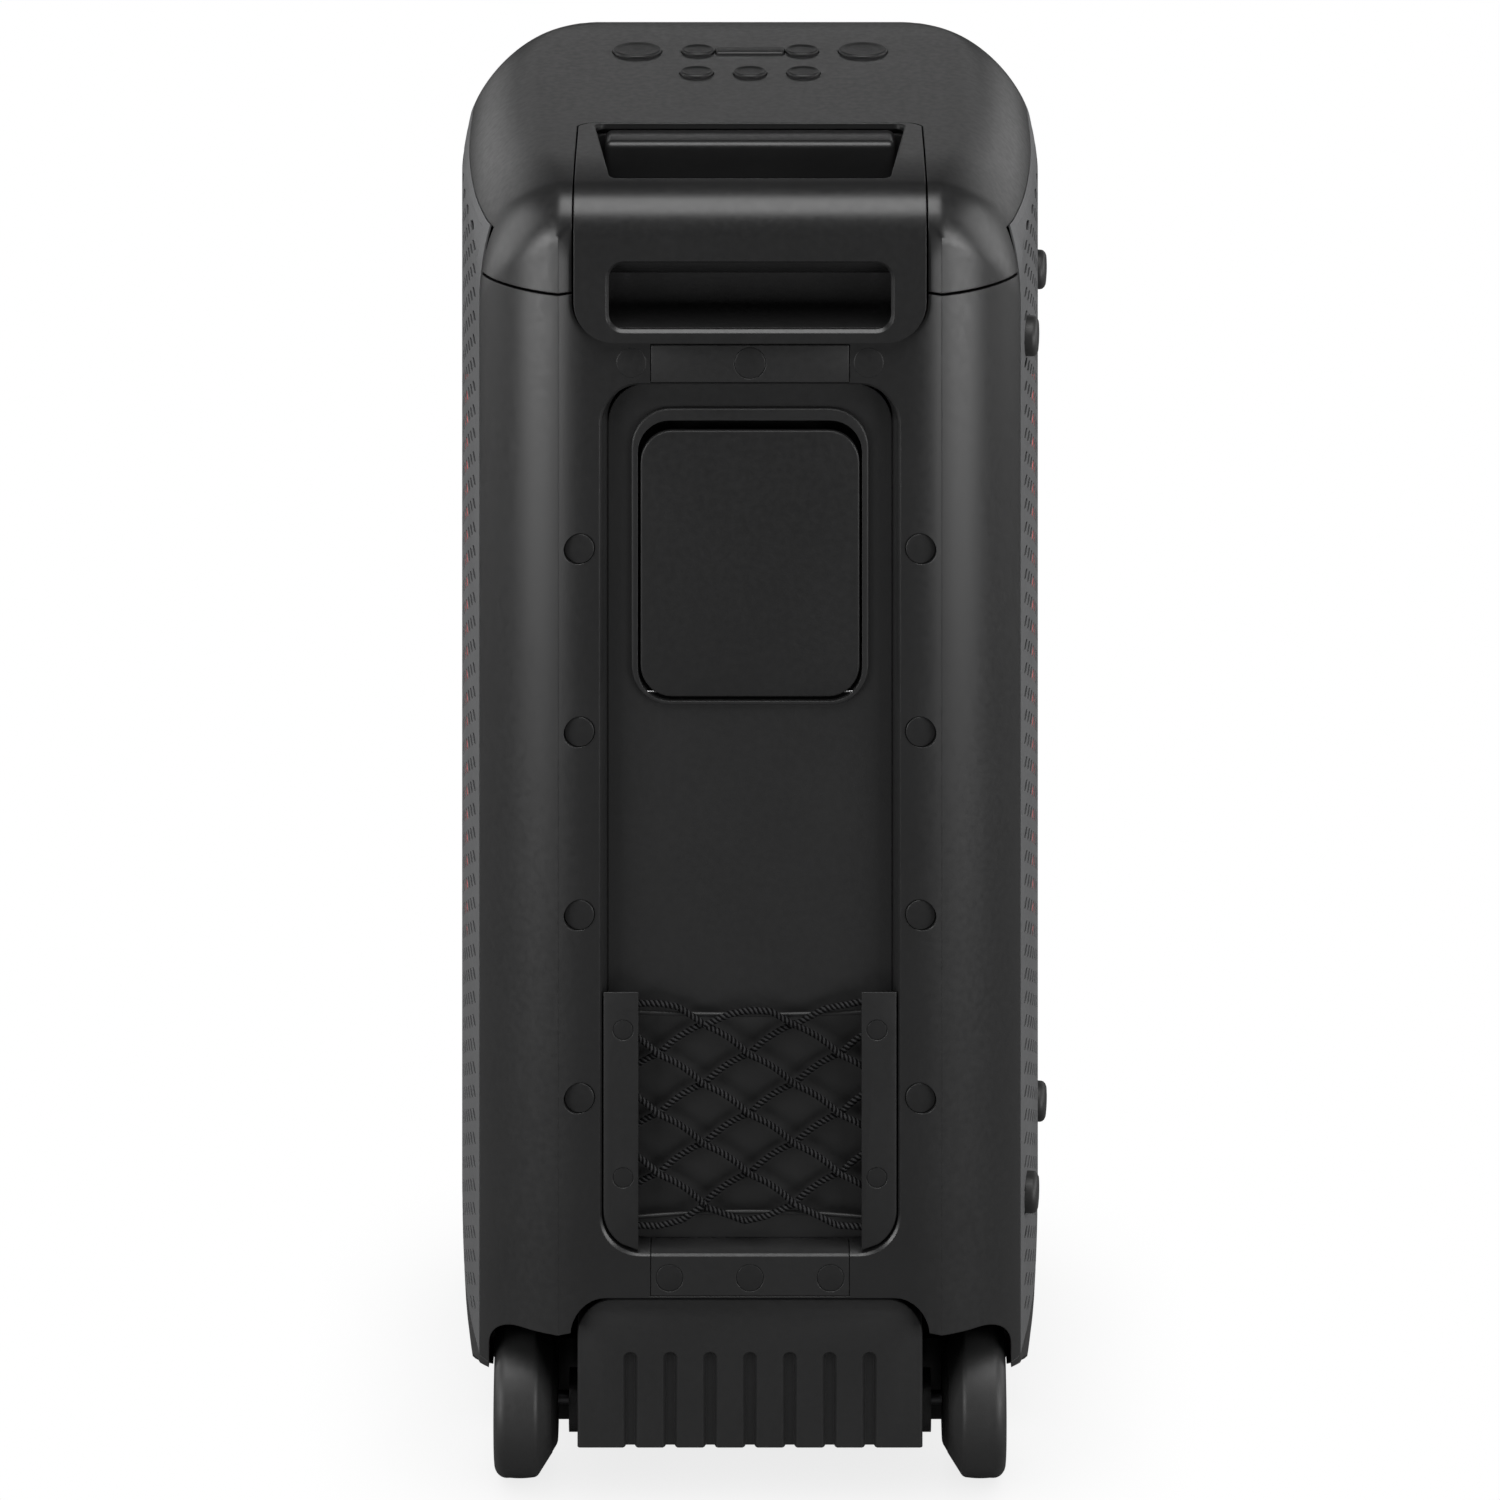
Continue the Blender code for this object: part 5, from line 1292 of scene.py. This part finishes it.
def build_keys():
    for joint in frame["joints"]:
        if not joint["name"].endswith("_press"):
            continue
        body = joint["child"]
        name = next(row for row, thing in frame["nodes"].items() if thing["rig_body"] == body)
        place, top, bottom = middle(name), high(name).z, low(name).z
        if name == "play_button":
            mesh = block(low(name), high(name), 0.0016, 4)
        else:
            radius = (high(name).x - low(name).x) / 2
            dish = [(radius * share, top - 0.0009 + 0.0005 * share**2) for share in (0.0, 0.3, 0.6, 0.78)]
            rim = list(reversed(round_rim(radius, top, 0.0012)))
            mesh = lathe([*dish, *rim, (radius, bottom), (0, bottom)], (place.x, place.y, 0), (0, 0, 1), 72)
        show(name + "_key", mesh, body, "button_rubber", name, sharp=50)


# Drivers, lights and boards behind the grille

def turn_driver(name, node_name, body, slot, profile, steps=96, closed=False):
    place = middle(node_name)
    flange = -(BAFFLE_FRONT - REAR_Y) - GAP
    mesh = lathe(profile, (place.x, flange, place.z), (0, -1, 0), steps, closed)
    show(name, mesh, body, slot, node_name, sharp=45)


def build_drivers():
    basket = [(0, -0.056), (0.0560, -0.052), (0.0880, 0.0012), (0.0930, 0.0030), (0.106, 0.0030), (0.106, 0),
              (0.0925, 0), (0.0640, -0.058), (0.0640, -0.090), (0, -0.090)]
    turn_driver("woofer_frame", "woofer_basket", "cabinet", "driver_frame", basket)
    dome = [(0.024 * math.sin(a), -0.024 + 0.018 * math.cos(a)) for a in np.linspace(0, math.pi / 2, 8)]
    cone = dome + [(0.0300, -0.0262)] + [(0.030 + 0.046 * s, -0.026 + 0.032 * s**0.85)
                                         for s in np.linspace(0.1, 1, 10)]
    back = [(0.0780, 0.0060), (0.0780, 0.0040), (0.0300, -0.029), (0.0200, -0.036), (0, -0.036)]
    turn_driver("woofer_cone_paper", "woofer_cone", "woofer_diaphragm", "cone_paper", cone + back)
    centre, inner, sheet = 0.0860, 0.0790, 0.0014
    reach = centre - inner
    turns = np.linspace(0, math.pi, 13)
    lift = 0.003 + GAP
    under = [(centre + (reach - sheet) * math.cos(a), lift + 0.0046 * math.sin(a)) for a in turns]
    over = [(centre - reach * math.cos(a), lift + sheet + 0.0052 * math.sin(a)) for a in turns]
    roll = [(0.099, lift + sheet), (0.099, lift), *under, (inner, lift), *over]
    turn_driver("woofer_roll", "woofer_surround", "cabinet", "surround_rubber", roll, closed=True)
    tweeter = [(0, 0.0060), (0.0045, 0.0056), (0.0080, 0.0045), (0.0105, 0.0025), (0.0125, 0.0), (0.018, 0.0008),
               (0.0260, 0.0035), (0.0370, 0.0035), (0.0370, 0), (0.0290, 0), (0.0280, -0.026), (0, -0.026)]
    for side_name in ("left", "right"):
        turn_driver(f"tweeter_{side_name}_unit", f"tweeter_{side_name}", "cabinet", "driver_frame", tweeter, 64)
    ring = [(0.1400, 0.0080), (0.1440, 0.0076), (0.1470, 0.0060), (0.1490, 0), (0.1310, 0), (0.1330, 0.0060),
            (0.1360, 0.0076)]
    turn_driver("light_ring", "led_ring", "cabinet", "light_diffuser", ring, 128, True)
    first, last = low("led_panel"), high("led_panel")
    show("light_strip", block(first, last, 0.0025, 4), "cabinet", "light_diffuser", "led_panel")
    panel = carved(envelope(BASE_TOP + 0.003, GRILLE_TOP - 0.001, 0.0024),
                   ("INTERSECT", depth_zone(BAFFLE_FRONT - 0.012, BAFFLE_FRONT)),
                   ("DIFFERENCE", rod(0.094, (0, 0, WOOFER_Z), (0, -0.3, WOOFER_Z), 96)),
                   *(("DIFFERENCE", rod(0.030, (middle(n).x, 0, middle(n).z), (middle(n).x, -0.3, middle(n).z), 64))
                     for n in ("tweeter_left", "tweeter_right")))
    show("baffle_board", panel, "cabinet", "baffle_plastic", "front_baffle")


def build_boards():
    for name, slot in (("control_board", "board_green"), ("amplifier_board", "amplifier_green"),
                       ("battery_pack", "battery_wrap")):
        frame["nodes"][name].data.materials.clear()
        frame["nodes"][name].data.materials.append(FINISHES[slot])


# Stage, light and camera

STAGE_RADIUS = 12.0
BACKDROP = 1.0


def camera_only(tree, seen, unseen):
    """A shader that the camera sees as `seen` and everything else as `unseen`."""
    path = node(tree, "ShaderNodeLightPath")
    mix = node(tree, "ShaderNodeMixShader")
    link(tree, path.outputs["Is Camera Ray"], mix.inputs["Fac"])
    link(tree, unseen, mix.inputs[1])
    link(tree, seen, mix.inputs[2])
    return mix.outputs["Shader"]


def build_world():
    world = bpy.data.worlds.new("studio")
    bpy.context.scene.world = world
    world.use_nodes = True
    tree = world.node_tree
    tree.nodes.clear()
    white = node(tree, "ShaderNodeBackground", Strength=BACKDROP)
    white.inputs["Color"].default_value = (1, 1, 1, 1)
    dim = node(tree, "ShaderNodeBackground", Strength=AMBIENT)
    dim.inputs["Color"].default_value = (1, 1, 1, 1)
    out = node(tree, "ShaderNodeOutputWorld")
    link(tree, camera_only(tree, white.outputs[0], dim.outputs[0]), out.inputs["Surface"])


def build_floor():
    bpy.ops.mesh.primitive_circle_add(vertices=96, radius=STAGE_RADIUS, fill_type="NGON", location=(0, 0, -0.0002))
    floor = bpy.context.object
    floor.name = "floor"
    made = bpy.data.materials.new("pale_floor")
    made.use_nodes = True
    tree = made.node_tree
    tree.nodes.clear()
    # The camera sees the floor as a glow that ambient occlusion dims near the object: a painted contact shadow.
    painted_contact_shadow = node(tree, "ShaderNodeAmbientOcclusion", samples=8, Distance=0.12)
    level = spread(tree, painted_contact_shadow.outputs["AO"], 0.80, BACKDROP, 0.0, 0.95)
    glow = node(tree, "ShaderNodeEmission")
    glow.inputs["Color"].default_value = (1, 1, 1, 1)
    link(tree, level, glow.inputs["Strength"])
    dark = node(tree, "ShaderNodeBsdfDiffuse")
    dark.inputs["Color"].default_value = (0.18, 0.18, 0.18, 1)
    out = node(tree, "ShaderNodeOutputMaterial")
    link(tree, camera_only(tree, glow.outputs[0], dark.outputs[0]), out.inputs["Surface"])
    floor.data.materials.append(made)


def softbox(name, place, target, width, height, energy):
    lamp = bpy.data.lights.new(name, "AREA")
    lamp.shape = "RECTANGLE"
    lamp.size, lamp.size_y = width, height
    lamp.energy = energy
    made = bpy.data.objects.new(name, lamp)
    bpy.context.scene.collection.objects.link(made)
    place, target = Vector(place), Vector(target)
    made.location = place
    made.rotation_mode = "QUATERNION"
    made.rotation_quaternion = (target - place).to_track_quat("-Z", "Y")
    made.visible_camera = False
    return made


def around(distance, azimuth, elevation, height=0.4):
    """A place `azimuth` degrees from +Y towards +X."""
    a, e = math.radians(azimuth), math.radians(elevation)
    return (distance * math.sin(a) * math.cos(e), distance * math.cos(a) * math.cos(e),
            height + distance * math.sin(e))


LIGHTS = {
    "far_card": 6.3, "overhead": 86.0, "left_box": 22.0, "right_box": 22.0, "left_side": 20.0,
    "right_side": 20.0, "left_far": 3.3, "right_far": 3.3}
AMBIENT = 0.02


def build_lights():
    softbox("far_card", (0, -3.0, 1.59), (0, 0, 0.80), 5.0, 0.38, LIGHTS["far_card"])
    softbox("overhead", around(2.6, 0, 63, 0.7), (0, 0.1, 0.7), 3.0, 1.9, LIGHTS["overhead"])
    for name, sign in (("left", 1), ("right", -1)):
        softbox(name + "_box", around(2.2, sign * 52, 0, 0.50), (0, 0, 0.50), 1.1, 0.96, LIGHTS[name + "_box"])
        softbox(name + "_far", (sign * 1.8, -2.6, 0.92), (0, 0, 0.75), 1.7, 0.7, LIGHTS[name + "_far"])
        softbox(name + "_side", around(2.4, sign * 100, 0, 0.90), (0, 0, 0.60), 1.6, 1.6, LIGHTS[name + "_side"])


CAMERA_Y, CAMERA_Z, CAMERA_LENS, CAMERA_SHIFT = 4.376, 2.0913, 169.08, -1.8333


def build_camera():
    """A level camera behind and above the object. The lens shift belongs to this place only."""
    data = bpy.data.cameras.new("camera")
    data.lens, data.sensor_width = CAMERA_LENS, 36
    data.clip_start, data.clip_end = 0.1, 60
    camera = bpy.data.objects.new("camera", data)
    bpy.context.scene.collection.objects.link(camera)
    camera.location = (0, CAMERA_Y, CAMERA_Z)
    camera.rotation_euler = (math.radians(90), 0, math.radians(180))
    driver = data.driver_add("shift_y").driver
    variable = driver.variables.new()
    variable.name, variable.type = "pz", "TRANSFORMS"
    variable.targets[0].id = camera
    variable.targets[0].transform_type = "LOC_Z"
    driver.expression = f"{CAMERA_SHIFT} if abs(pz - {CAMERA_Z}) < 0.001 else 0"
    bpy.context.scene.camera = camera


def build_stage():
    build_world()
    build_floor()
    build_lights()
    build_camera()
    bpy.context.scene.view_settings.view_transform = "Standard"


build_shells()
build_grille()
build_rear()
build_fittings()
build_net()
build_handle()
build_wheels()
build_base()
build_keys()
build_drivers()
build_boards()
build_stage()
